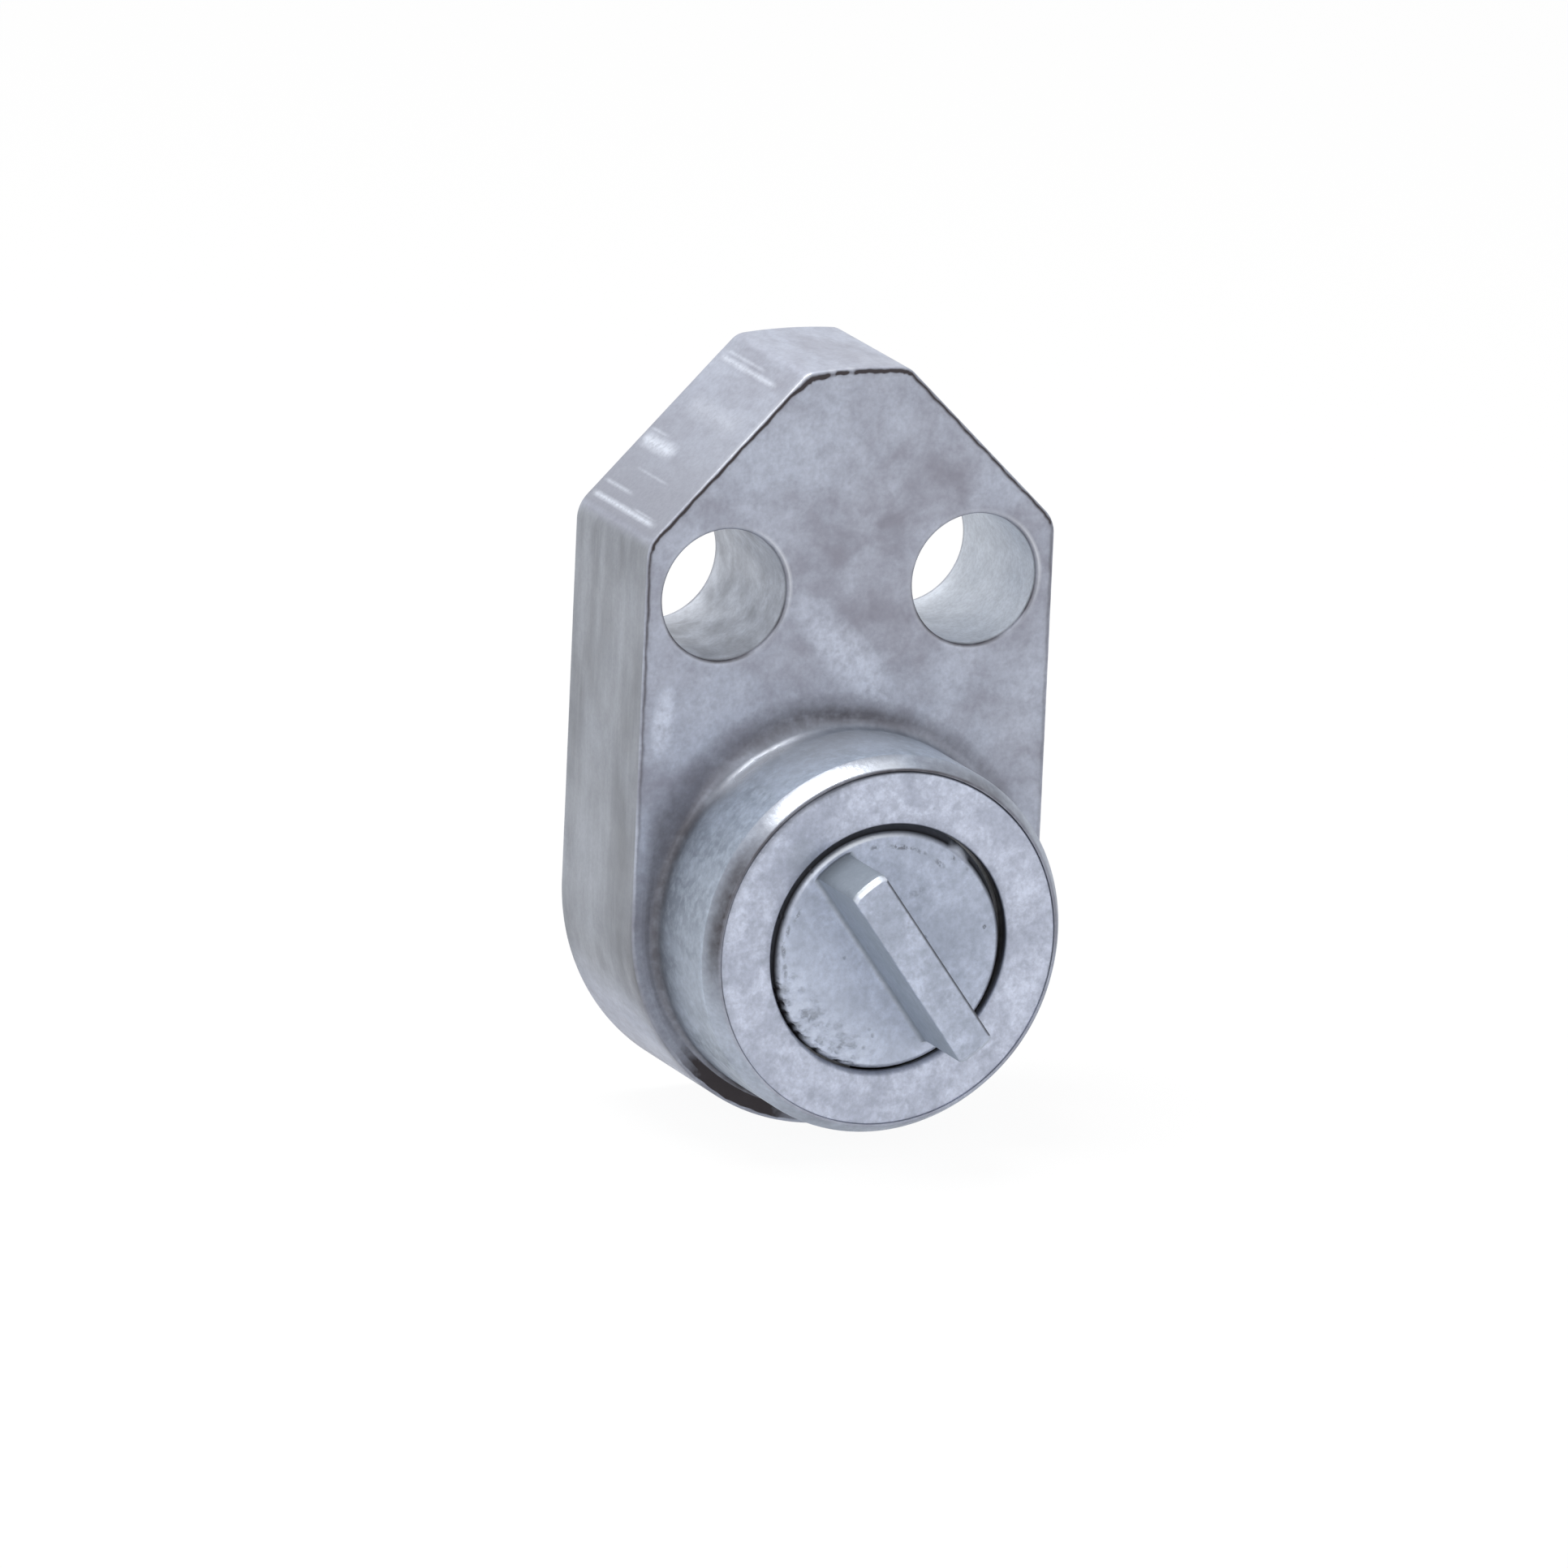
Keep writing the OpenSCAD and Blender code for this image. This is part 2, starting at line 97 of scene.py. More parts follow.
def corner(start, turn_at, end, r):
    """Points of a profile's corner rounded with radius r."""
    a, b = (Vector(start) - Vector(turn_at)).normalized(), (Vector(end) - Vector(turn_at)).normalized()
    half = a.angle(b) / 2
    back = r / math.tan(half)
    centre = Vector(turn_at) + (a + b).normalized() * (r / math.sin(half))
    p, q = Vector(turn_at) + a * back - centre, Vector(turn_at) + b * back - centre
    turn = math.atan2(p.x * q.y - p.y * q.x, p.dot(q))
    return [tuple(centre + turned_about(p, turn * i / ROUND_STEPS)) for i in range(ROUND_STEPS + 1)]


# Shares: how dirty a surface is and how much painted shade and painted highlight it has, and so on, as
# functions of a place on it

def lobe(middle, half, low=0.0, high=1.0):
    """High round the middle direction, in degrees, and down to low beyond half."""
    def share(t):
        away = abs((t - middle + 180) % 360 - 180) / half
        return low + (high - low) * max(0.0, 0.5 + 0.5 * math.cos(math.pi * min(away, 1.0)))
    return share


def around(stops):
    """Straight between stops, each a direction in degrees with its value, once round."""
    stops = list(stops.items())
    stops.append((stops[0][0] + 360, stops[0][1]))

    def share(t):
        t = stops[0][0] + (t - stops[0][0]) % 360
        for (a, low), (b, high) in zip(stops, stops[1:]):
            if t <= b:
                return low + (high - low) * (t - a) / (b - a)
    return share


def part(k, share):
    """A share k times as strong."""
    return lambda place: k * share(place)


def most(*parts):
    """The highest of several shares, each given with its strength before it."""
    return lambda place: max(k * share(place) for k, share in parts)


def blend(k, a, b):
    """From share a, where k is 0, to share b, where it is 1."""
    return lambda place: (1 - k) * a(place) + k * b(place)


# Meshes and objects

def add_object(name, data):
    obj = bpy.data.objects.new(name, data)
    SCENE.collection.objects.link(obj)
    return obj


def add_mesh(name, bm):
    mesh = bpy.data.meshes.new(name)
    bm.to_mesh(mesh)
    bm.free()
    return add_object(name, mesh)


class Skin:
    """A closed surface built from rings of points, with its shares at each point."""

    def __init__(self):
        self.bm = bmesh.new()
        # The first share carries dirt and painted shade, the second wear and painted highlights, the third
        # painted light on the walls of the fixing holes, the fourth the tint of machined sides
        names = ("dirt", "shine", "pale", "flank")
        self.layer = {name: self.bm.verts.layers.float.new(name) for name in names}

    def ring(self, points, where=None, **shares):
        """Each share is a number, or a function of the point's entry in where."""
        made = [self.bm.verts.new(p) for p in points]
        for name, share in shares.items():
            for i, v in enumerate(made):
                v[self.layer[name]] = value(share, where[i] if where else None)
        return made

    def join(self, *rings):
        for a, b in zip(rings, rings[1:]):
            for i in range(len(a)):
                j = (i + 1) % len(a)
                self.bm.faces.new((a[i], a[j], b[j], b[i]))

    def flat(self, *rings):
        """Fills the plane between rings."""
        edges = []
        for r in rings:
            for i in range(len(r)):
                pair = (r[i], r[(i + 1) % len(r)])
                edges.append(self.bm.edges.get(pair) or self.bm.edges.new(pair))
        bmesh.ops.triangle_fill(self.bm, use_beauty=True, edges=edges)

    def round_ring(self, r, out, x=0.0, high=0.0, count=TURN, **shares):
        """The radius and the level are numbers, or functions of the direction in degrees."""
        points, where = [], []
        for i in range(count):
            t = 360 * i / count
            a, radius, level = math.radians(t), value(r, t), value(out, t)
            points.append(at(x + radius * math.cos(a), high + radius * math.sin(a), level))
            where.append(t)
        return self.ring(points, where, **shares)

    def turned(self, profile, **place):
        """Rings of a turned profile, joined in order. Each entry is (radius, out[, shares])."""
        rings = []
        for entry in profile:
            r, out, shares = (*entry, {})[:3]
            rings.append(self.round_ring(r, out, **place, **shares))
        self.join(*rings)
        return rings

    def piece(self, name, sharp=50):
        bmesh.ops.recalc_face_normals(self.bm, faces=self.bm.faces)
        obj = add_mesh(name, self.bm)
        smooth(obj, sharp)
        return obj


def smooth(obj, sharp=50):
    for face in obj.data.polygons:
        face.use_smooth = True
    obj.data.set_sharp_from_angle(angle=math.radians(sharp))


def settle(obj, sharp=50):
    """Applies the piece's modifiers."""
    graph = bpy.context.evaluated_depsgraph_get()
    mesh = bpy.data.meshes.new_from_object(obj.evaluated_get(graph))
    obj.modifiers.clear()
    obj.data = mesh
    smooth(obj, sharp)


def weigh(obj):
    """Keeps flat faces flat and their rounded edges smooth."""
    m = obj.modifiers.new("normals", "WEIGHTED_NORMAL")
    m.keep_sharp, m.weight = True, 60
    return obj


def rod(name, a, b, r, count=48):
    """A plain cutter from a to b."""
    bm = bmesh.new()
    d = b - a
    place = Matrix.Translation((a + b) / 2) @ d.to_track_quat("Z", "Y").to_matrix().to_4x4()
    bmesh.ops.create_cone(bm, cap_ends=True, segments=count, radius1=r / 1000, radius2=r / 1000,
                          depth=d.length, matrix=place)
    return add_mesh(name, bm)


def block(name, size, place):
    bm = bmesh.new()
    bmesh.ops.create_cube(bm, size=1, matrix=place @ Matrix.Diagonal((*size, 1)))
    return add_mesh(name, bm)


def combine(obj, operation, others, sharp=50):
    """Cuts the others out of the piece, or keeps what it shares with them, and removes them."""
    for other in others:
        m = obj.modifiers.new("combine", "BOOLEAN")
        m.operation, m.solver, m.object = operation, "EXACT", other
    bpy.context.view_layer.update()
    settle(obj, sharp)
    for other in others:
        bpy.data.objects.remove(other)


# Housing: the plate

def plate_outline():
    """Points of the plate's outline with their outward directions, once round."""
    crown_r = (HALF_TOP ** 2 + CROWN ** 2) / (2 * CROWN)
    roof_h = SHOULDER_H + (HALF_W - HALF_TOP) / math.tan(ROOF)
    crown_c = Vector((0, roof_h + CROWN - crown_r))
    out_dir = Vector((math.cos(ROOF), math.sin(ROOF)))
    up_dir = Vector((-math.sin(ROOF), math.cos(ROOF)))
    to_slope = out_dir.dot(Vector((HALF_TOP, roof_h)) - crown_c) - TOP_R
    along = math.sqrt((crown_r - TOP_R) ** 2 - to_slope ** 2)
    top_c = crown_c + out_dir * to_slope + up_dir * along
    shoulder_c = Vector((HALF_W - SHOULDER_R, SHOULDER_H - SHOULDER_R * math.tan(ROOF / 2)))
    top_turn = math.atan2(*(top_c - crown_c).yx)
    half = []

    def arc(c, r, a, b, n):
        for t in spread(a, b, n):
            d = Vector((math.cos(t), math.sin(t)))
            half.append((Vector(c) + d * r, d))

    arc((0, FOOT_H), HALF_W, -math.pi / 2, 0, 56)
    for h in spread(FOOT_H, shoulder_c.y, 44)[1:-1]:
        half.append((Vector((HALF_W, h)), Vector((1, 0))))
    arc(shoulder_c, SHOULDER_R, 0, ROOF, 8)
    a, b = shoulder_c + out_dir * SHOULDER_R, top_c + out_dir * TOP_R
    for s in spread(0, 1, 30)[1:-1]:
        half.append((a.lerp(b, s), out_dir))
    arc(top_c, TOP_R, ROOF, top_turn, 6)
    arc(crown_c, crown_r, top_turn, math.pi / 2, 14)
    seen = []
    for p, d in half:
        if not seen or (p - seen[-1][0]).length > 1e-4:
            seen.append((p, d))
    other = [(Vector((-p.x, p.y)), Vector((-d.x, d.y))) for p, d in reversed(seen[1:-1])]
    return seen + other


def nicked(p):
    """Two nicks in the crown's near edge."""
    return p.y > 40 and min(abs(p.x + 2.1), abs(p.x + 0.6)) < 0.15


def edge_line(place):
    """Dark line just inside the plate's near edge: strongest at the top, fading down the sides."""
    p, d = place
    if d.y > 0.3:
        if nicked(p):
            return 0.4
        return 1.1 if d.y > 0.75 else (0.95 if d.x < 0 else 0.7)
    side = 0.6 if p.x < 0 else 0.35
    return side * (0.3 + 0.7 * min(1, max(0, p.y - 4) / 20)) * min(1, max(0, (p.y + 3) / 6))


def edge_light(place):
    """Painted highlight on the upper half of the left slope's near edge."""
    p, d = place
    if nicked(p):
        return 0.8
    slope = 0.9 * min(1, max(0, (p.y - 31) / 4)) if d.x < -0.3 and d.y > 0.3 else 0
    return 0.1 * (1 - low_left(place)) + slope


def low_left(place):
    """Round the foot's left side, where painted shade blurs the near edge."""
    p, _ = place
    return min(1, lobe(208, 60, 0, 1.2)(math.degrees(math.atan2(p.y, p.x))))


def strip(t):
    """Painted shadow of the boss on the narrow strip of face under it."""
    return min(0.4, lobe(203, 60, 0, 0.8)(t)) + lobe(241, 30, 0, 1.6)(t)


def foot_dirt(place):
    """The strip's painted shadow where it meets the near edge."""
    p, _ = place
    t = math.degrees(math.atan2(p.y, p.x)) % 360
    return strip(t) * around({0: 1, 170: 0.75, 225: 0.75, 238: 1})(t)


def worn_corner(p):
    """The near edge is rounder at the top, and most at its left corner."""
    left = max(0, 1 - (p - Vector((-3.8, 40.2))).length / 2.2)
    return 1.1 * left + (0.35 if p.y > 39.5 else 0)


def plate_sides(s):
    """Makes the sides and their rounded edges, and returns the last ring on each face."""
    line = plate_outline()
    worn = [1 + 0.16 * math.sin(i * 1.9) + 0.14 * math.sin(i * 0.71 + 1) + worn_corner(p)
            for i, (p, _) in enumerate(line)]
    worn[0] = worn[-1] = 1

    def outline(inset, out, uneven=0.0, **shares):
        points = [at(*(p - d * inset * (1 + uneven * (w - 1))), out) for (p, d), w in zip(line, worn)]
        return s.ring(points, line, **shares)

    def edge(face, way, r, uneven, shares):
        """Rings of the rounded edge from the side wall to the face."""
        return [outline(r * (1 - math.cos(t)), face - way * r * (1 - math.sin(t)), uneven, **share)
                for t, share in zip(spread(0, math.pi / 2, ROUND_STEPS), shares)]

    # The near edge carries a painted highlight on the left slope, painted shade round the foot and a dark
    # line just inside; the far edge a faint painted highlight
    near = edge(0, 1, 0.2, 0.9, (
        dict(shine=part(0.4, edge_light), dirt=part(0.4, low_left)),
        dict(shine=edge_light, dirt=part(0.46, low_left)),
        dict(shine=part(0.5, edge_light), dirt=most((0.48, low_left), (0.2, edge_line))),
        dict(dirt=most((0.42, low_left), (0.8, edge_line))),
        dict(dirt=most((0.34, low_left), (1.6, edge_line)))))
    far = edge(KEY_FACE, -1, 0.25, 0.6, ({}, dict(shine=0.3), dict(shine=0.4), dict(shine=0.3), {}))
    near_in = [outline(0.27, 0, 0.8, dirt=most((1, foot_dirt), (1.3, edge_line))),
               outline(0.42, 0, 0.5, dirt=most((1, foot_dirt), (0.15, edge_line))),
               outline(0.7, 0, dirt=foot_dirt)]
    far_in = outline(0.5, KEY_FACE)
    s.join(far_in, *reversed(far), outline(0, KEY_FACE + 0.5), outline(0, -3.2),
           outline(0, -1.6, dirt=part(0.11, low_left)), outline(0, -0.6, dirt=part(0.32, low_left)),
           *near, *near_in)
    return near_in[-1], far_in


def fixing_hole(s, x):
    """Makes a hole's wall and edges, and returns its rings on the near and the far face."""
    c = HOLE_CHAMFER
    # Darker round the lower side of the mouth and just inside the wall in a few directions; a painted
    # highlight on the outer chamfer toward the right, and painted light on the wall
    low_edge = around({0: 0.3, 40: 0.35, 80: 0.1, 170: 0.2, 200: 0.5, 215: 1, 245: 0.8, 262: 1, 290: 0.9,
                       303: 0.3, 320: 0.25, 330: 0.85, 345: 0.7})
    deep = around({0: 0, 30: 0.1, 45: 0.4, 70: 0.3, 85: 0, 205: 0, 222: 0.35, 240: 0.2, 260: 0.5, 280: 0.3,
                   295: 0})
    rings = s.turned([
        (HOLE_R + c + 0.35, 0), (HOLE_R + c + 0.12, 0, dict(shine=lobe(20, 60, 0.1, 0.9))),
        (HOLE_R + c, -0.01, dict(shine=0.2, dirt=part(0.6, low_edge))),
        (HOLE_R + 0.02, -c + 0.02, dict(dirt=low_edge)),
        (HOLE_R, -c - 0.08, dict(dirt=most((0.6, low_edge), (1, deep)), pale=0.6)),
        (HOLE_R, -c - 0.3, dict(pale=1, dirt=deep)),
        *((HOLE_R, out, dict(pale=1)) for out in (-c - 0.7, -3, -8, KEY_FACE + c + 0.3)),
        (HOLE_R, KEY_FACE + c), (HOLE_R + c, KEY_FACE), (HOLE_R + c + 0.3, KEY_FACE)],
        x=x, high=HOLE_H, count=HOLE_TURN)
    return rings[0], rings[-1]


# Housing: the boss, with its painted highlights and painted shade by direction

# Where it meets the plate: the fillet's radius, and the width in mm and the depth of the painted shade and
# soiling on the plate
fillet = around({40: 0.6, 90: 0.7, 104: 1.3, 132: 1.3, 145: 0.7, 200: 0.6, 225: 0.3, 315: 0.3})
halo_width = around({0: 1.2, 75: 1.5, 90: 2, 104: 1.9, 132: 2.2, 150: 2.9, 220: 1.4, 330: 1.0})
halo_depth = around({0: 0.55, 60: 0.8, 90: 1, 125: 0.85, 150: 1.15, 190: 1.25, 225: 1, 300: 0.5})
# Painted shade at the fillet's outer rim, painted highlight on the fillet, and painted shade in the corner
fillet_rim_dirt = around({50: 0, 75: 0.4, 90: 0.6, 105: 0.4, 130: 0.1, 150: 0})
fillet_light = around({96: 0, 104: 0.5, 112: 1.2, 128: 1.3, 136: 0.5, 143: 0})
corner_dirt = around({0: 0.5, 60: 0.6, 90: 0.45, 105: 0.7, 135: 0.85, 150: 1.3, 190: 1.2, 225: 1, 240: 1.4,
                      255: 1.4, 280: 0.5})
# Painted highlights on its side at the right and at the top, and painted shade on its left
right_light, top_light, flank_shade = lobe(52, 26, 0, 0.8), lobe(98, 44, 0, 0.75), lobe(185, 55, 0, 0.2)
# On its chamfer a painted highlight and painted shade, a darker flat land inside that, and painted shade in
# the seam beside the core
rim_light = around({84: 0, 90: 0.75, 97: 0.9, 126: 0.95, 133: 0.55, 140: 0})
rim_dirt = around({30: 0.15, 45: 0.3, 60: 0.7, 75: 0.4, 86: 0, 131: 0, 139: 0.45, 150: 0.8, 160: 0.95,
                   176: 0.95, 190: 0.4, 204: 0})
land_dirt = around({40: 0.5, 60: 0.8, 75: 0.95, 90: 0.95, 98: 0.75, 105: 0.65, 128: 0.65, 138: 0.85,
                    150: 0.85, 160: 0.8, 175: 0.7, 190: 0.4, 205: 0.15, 225: 0.08, 330: 0.1})
boss_seam = around({15: 0.15, 45: 0.35, 75: 0.6, 90: 0.95, 100: 0.8, 110: 0.6, 120: 0.45, 130: 0.6, 140: 0.8,
                    150: 0.65, 160: 0.5, 175: 0.35, 190: 0.4, 205: 0.25, 225: 0.08, 340: 0.05})


def halo_ring(w, k, rim):
    """A ring on the plate at share w of the width of the painted shade and soiling, which stays 0.8 mm inside
    the plate's edge.
    """
    def radius(t):
        high = math.sin(math.radians(t))
        reach = HALF_W + FOOT_H * high if high < 0 else HALF_W / max(0.5, abs(math.cos(math.radians(t))))
        inner = BOSS_R + fillet(t)
        return inner + w * min(halo_width(t), reach - 0.8 - inner)
    return radius, 0, dict(dirt=lambda t: max(k * halo_depth(t) + rim * fillet_rim_dirt(t), strip(t)))


def fillet_ring(tilt, dark, light, rim):
    """A ring of the fillet: painted shade in the corner, and a painted highlight band above it on the upper
    left.
    """
    def dirt(t):
        clear = 1 - min(1, fillet_light(t)) * min(1, 2 * light)
        return dark * corner_dirt(t) * clear + rim * fillet_rim_dirt(t)
    return (lambda t: BOSS_R + fillet(t) * (1 - math.sin(tilt)), lambda t: fillet(t) * (1 - math.cos(tilt)),
            dict(dirt=dirt, shine=part(light, fillet_light), flank=tilt / 2))


def flank_ring(out, light, above, right, dark):
    """A ring of the boss's side, with painted shade and painted highlights; the first ones follow the fillet.
    """
    def dirt(t):
        return dark * corner_dirt(t) * (1 - min(1, fillet_light(t))) + flank_shade(t)
    level = out if out > 3 else lambda t: fillet(t) + out
    shine = most((light, fillet_light), (above, top_light), (right, right_light))
    return BOSS_R, level, dict(flank=1, dirt=dirt, shine=shine)


def rim_ring(i, p):
    """A ring where the boss's side turns into the chamfer, with painted highlight and painted shade."""
    k = i / ROUND_STEPS
    return *p, dict(shine=most((0.3 * k, rim_light), (1 - k, right_light)), flank=1 - i / 10,
                    dirt=lambda t: k * (0.35 * rim_dirt(t) + 0.45 * rim_light(t)))


def lip_ring(i, p):
    """A ring where the chamfer turns into the flat land, with painted highlight and painted shade."""
    return *p, dict(shine=part(max(0, 1 - i / 3), rim_light), flank=max(0, 0.6 - i / 6),
                    dirt=blend(i / ROUND_STEPS, rim_dirt, land_dirt))


def boss_profile():
    foot = [halo_ring(*v) for v in ((1, 0.04, 0), (0.75, 0.3, 0), (0.5, 0.46, 0), (0.2, 0.5, 0.5))]
    foot += [fillet_ring(tilt, *v) for tilt, v in zip(spread(0, math.pi / 2, ROUND_STEPS), (
        (0.5, 0, 1), (0.62, 0, 0.6), (0.66, 0.05, 0.2), (0.6, 1, 0), (0.45, 1.1, 0)))]
    flank = [flank_ring(*v) for v in (
        (0.4, 0.8, 1, 0, 0.16), (0.9, 0.4, 1, 0, 0.08), (1.5, 0.2, 1, 0.1, 0.03), (3.3, 0.1, 0.9, 0.5, 0),
        (4.4, 0, 0.8, 0.9, 0), (6, 0, 0.5, 1, 0), (7.3, 0, 0.2, 1, 0))]
    slope, face = (BOSS_R, BOSS_L - RIM_L), (BORE_R + RIM_LAND, BOSS_L)
    rim = [rim_ring(i, p) for i, p in enumerate(corner((BOSS_R, 5), slope, face, 0.35))]
    rim.append((face[0] + 0.3, BOSS_L - RIM_L * 0.43,
                dict(shine=rim_light, dirt=part(0.85, rim_dirt), flank=0.6)))
    lip = [lip_ring(i, p) for i, p in enumerate(corner(slope, face, (BORE_R, BOSS_L), 0.16))]
    inner = [(BORE_R + 0.02, BOSS_L - 0.01, dict(dirt=boss_seam)),
             (BORE_R, BOSS_L - 0.1, dict(dirt=boss_seam)),
             (BORE_R, BOSS_L - 0.16, dict(dirt=lambda t: min(1, 0.2 + 2 * boss_seam(t)))),
             (BORE_R, BOSS_L - 0.5), (BORE_R, CORE_SHOULDER), (LIP_R, CORE_SHOULDER),
             (LIP_R, KEY_FACE + 0.12), (LIP_R + 0.12, KEY_FACE), (LIP_R + 0.3, KEY_FACE)]
    return foot + flank + rim + lip + inner


def make_housing():
    s = Skin()
    near_in, far_in = plate_sides(s)
    holes = [fixing_hole(s, x) for x in (-HOLE_X, HOLE_X)]
    boss = s.turned(boss_profile())
    s.flat(near_in, boss[0], *(near for near, _ in holes))
    s.flat(far_in, boss[-1], *(far for _, far in holes))
    housing = s.piece("housing_cast")
    screw_hole = rod("screw_cut", at(0, -18, -SCREW_BACK), at(0, -9, -SCREW_BACK), SCREW_R)
    combine(housing, "DIFFERENCE", [screw_hole])
    return weigh(housing)


# Core

def make_core():
    s = Skin()
    c = CORE_CHAMFER
    # Black painted shade inside the gap by the boss and on the opening's deep walls and groove
    full = dict(dirt=1)
    # Painted shade in the seam beside the boss, strongest toward the top
    seam = around({15: 0.12, 45: 0.3, 75: 0.6, 90: 0.9, 100: 0.7, 110: 0.5, 120: 0.4, 130: 0.5, 140: 0.75,
                   150: 0.6, 160: 0.45, 175: 0.3, 190: 0.35, 205: 0.2, 225: 0.05, 340: 0.03})
    # Painted shade on the face just inside the edge, on the upper left
    inner_edge_shade = around({70: 0, 90: 0.35, 100: 0.5, 110: 0.68, 130: 0.64, 140: 0.55, 150: 0.5, 160: 0.42,
                      175: 0.32, 190: 0.28, 205: 0.25, 222: 0})
    # The edge is more worn on the upper left, where painted shade fills the seam
    wear = around({10: 0.2, 45: 0.6, 90: 1.2, 110: 1.9, 135: 1.9, 150: 1.2, 180: 0.6, 215: 0.3, 230: 0.15,
                   350: 0.15})
    wide = around({10: 0.01, 45: 0, 200: 0, 225: 0.022, 350: 0.022})
    profile = [(CORE_R, CORE_SHOULDER), (CORE_R, 0), (CORE_R, CORE_FACE - c - 0.4, full)]
    for k in (0, 0.4, 0.85):
        profile.append((lambda t, k=k: CORE_R + wide(t) - c * k * wear(t),
                        lambda t, k=k: CORE_FACE - c * (1 - k) * wear(t), dict(dirt=blend(k, seam, inner_edge_shade))))
    profile.append((lambda t: CORE_R - c * wear(t) - 0.06, CORE_FACE, dict(dirt=part(0.5, inner_edge_shade))))
    profile += [(r, CORE_FACE) for r in (CORE_R - 0.6, 12, 11, 10.2, RECESS_R + 0.55)]
    # The opening's worn edge isn't quite round, and the painted shade on its wall is lighter at the bottom
    inward = around({0: 0.05, 30: 0.08, 60: 0.19, 180: 0.19, 196: 0.16, 225: 0.14, 300: 0.14, 325: 0.07})
    soft = around({0: 1.2, 200: 1, 220: 2, 240: 3.3, 300: 3.3, 330: 2})
    wall_dirt = around({0: 1, 200: 1, 225: 0.7, 245: 0.55, 300: 0.55, 325: 0.7})
    for inset, down, k in ((0.12, 0, 0.1), (0.04, 0.03, 0.5), (0, 0.1, 0.9)):
        profile.append((lambda t, i=inset: RECESS_R + i * soft(t) - inward(t),
                        lambda t, d=down: CORE_FACE - d * soft(t), dict(dirt=part(k, wall_dirt))))
    profile.append((lambda t: RECESS_R - inward(t), CORE_FACE - 0.7, dict(dirt=wall_dirt)))
    groove = RING_MID - RING_HALF, RING_MID + RING_HALF
    profile += [(r, out, full) for r, out in (
        (RECESS_R, CORE_FACE - 0.9), (RECESS_R, groove[1]), (RING_OUT, groove[1]), (RING_OUT, groove[0]),
        (RECESS_R, groove[0]), (RECESS_R, RECESS_FLOOR))]
    profile += [(PLUG_BORE_R, RECESS_FLOOR), (PLUG_BORE_R, FLANGE_FLOOR), (FLANGE_BORE_R, FLANGE_FLOOR),
                (FLANGE_BORE_R, KEY_FACE + 0.1), (FLANGE_BORE_R + 0.1, KEY_FACE),
                (FLANGE_BORE_R + 0.25, KEY_FACE), (NOSE_R - 0.3, KEY_FACE), (NOSE_R - 0.15, KEY_FACE),
                (NOSE_R, KEY_FACE + 0.15), (NOSE_R, CORE_SHOULDER)]
    rings = s.turned(profile)
    s.join(rings[-1], rings[0])
    core = s.piece("core_cast")
    holes = [rod("chamber", at(0, 5.5, out), at(0, CORE_R + 2, out), CHAMBER_R) for out in CHAMBERS]
    for x in (-GUARD_X, GUARD_X):
        holes.append(rod("guard", at(x, GUARD_H, CORE_SHOULDER - 1), at(x, GUARD_H, GUARD_END), GUARD_R, 32))
    holes.append(rod("point", at(0, -CORE_R - 1, -SCREW_BACK), at(0, POINT_IN - CORE_R, -SCREW_BACK),
                     POINT_R, 32))
    combine(core, "DIFFERENCE", holes)
    return weigh(core)


# Driver

# On the disc's edge: direction in degrees, and the depth of a nick or the reach of the burr in mm
NICKS = ((197, 0.06), (205, 0.12), (210, 0.07), (217, 0.14), (222, 0.08), (235, 0.1), (247, 0.06),
         (316, 0.08))
BURR = ((45, 0.06), (47.5, 0.26), (50, 0.42), (52.5, 0.4), (55, 0.1))


def scale_out(v, k):
    v.co.x, v.co.z = v.co.x * k, v.co.z * k


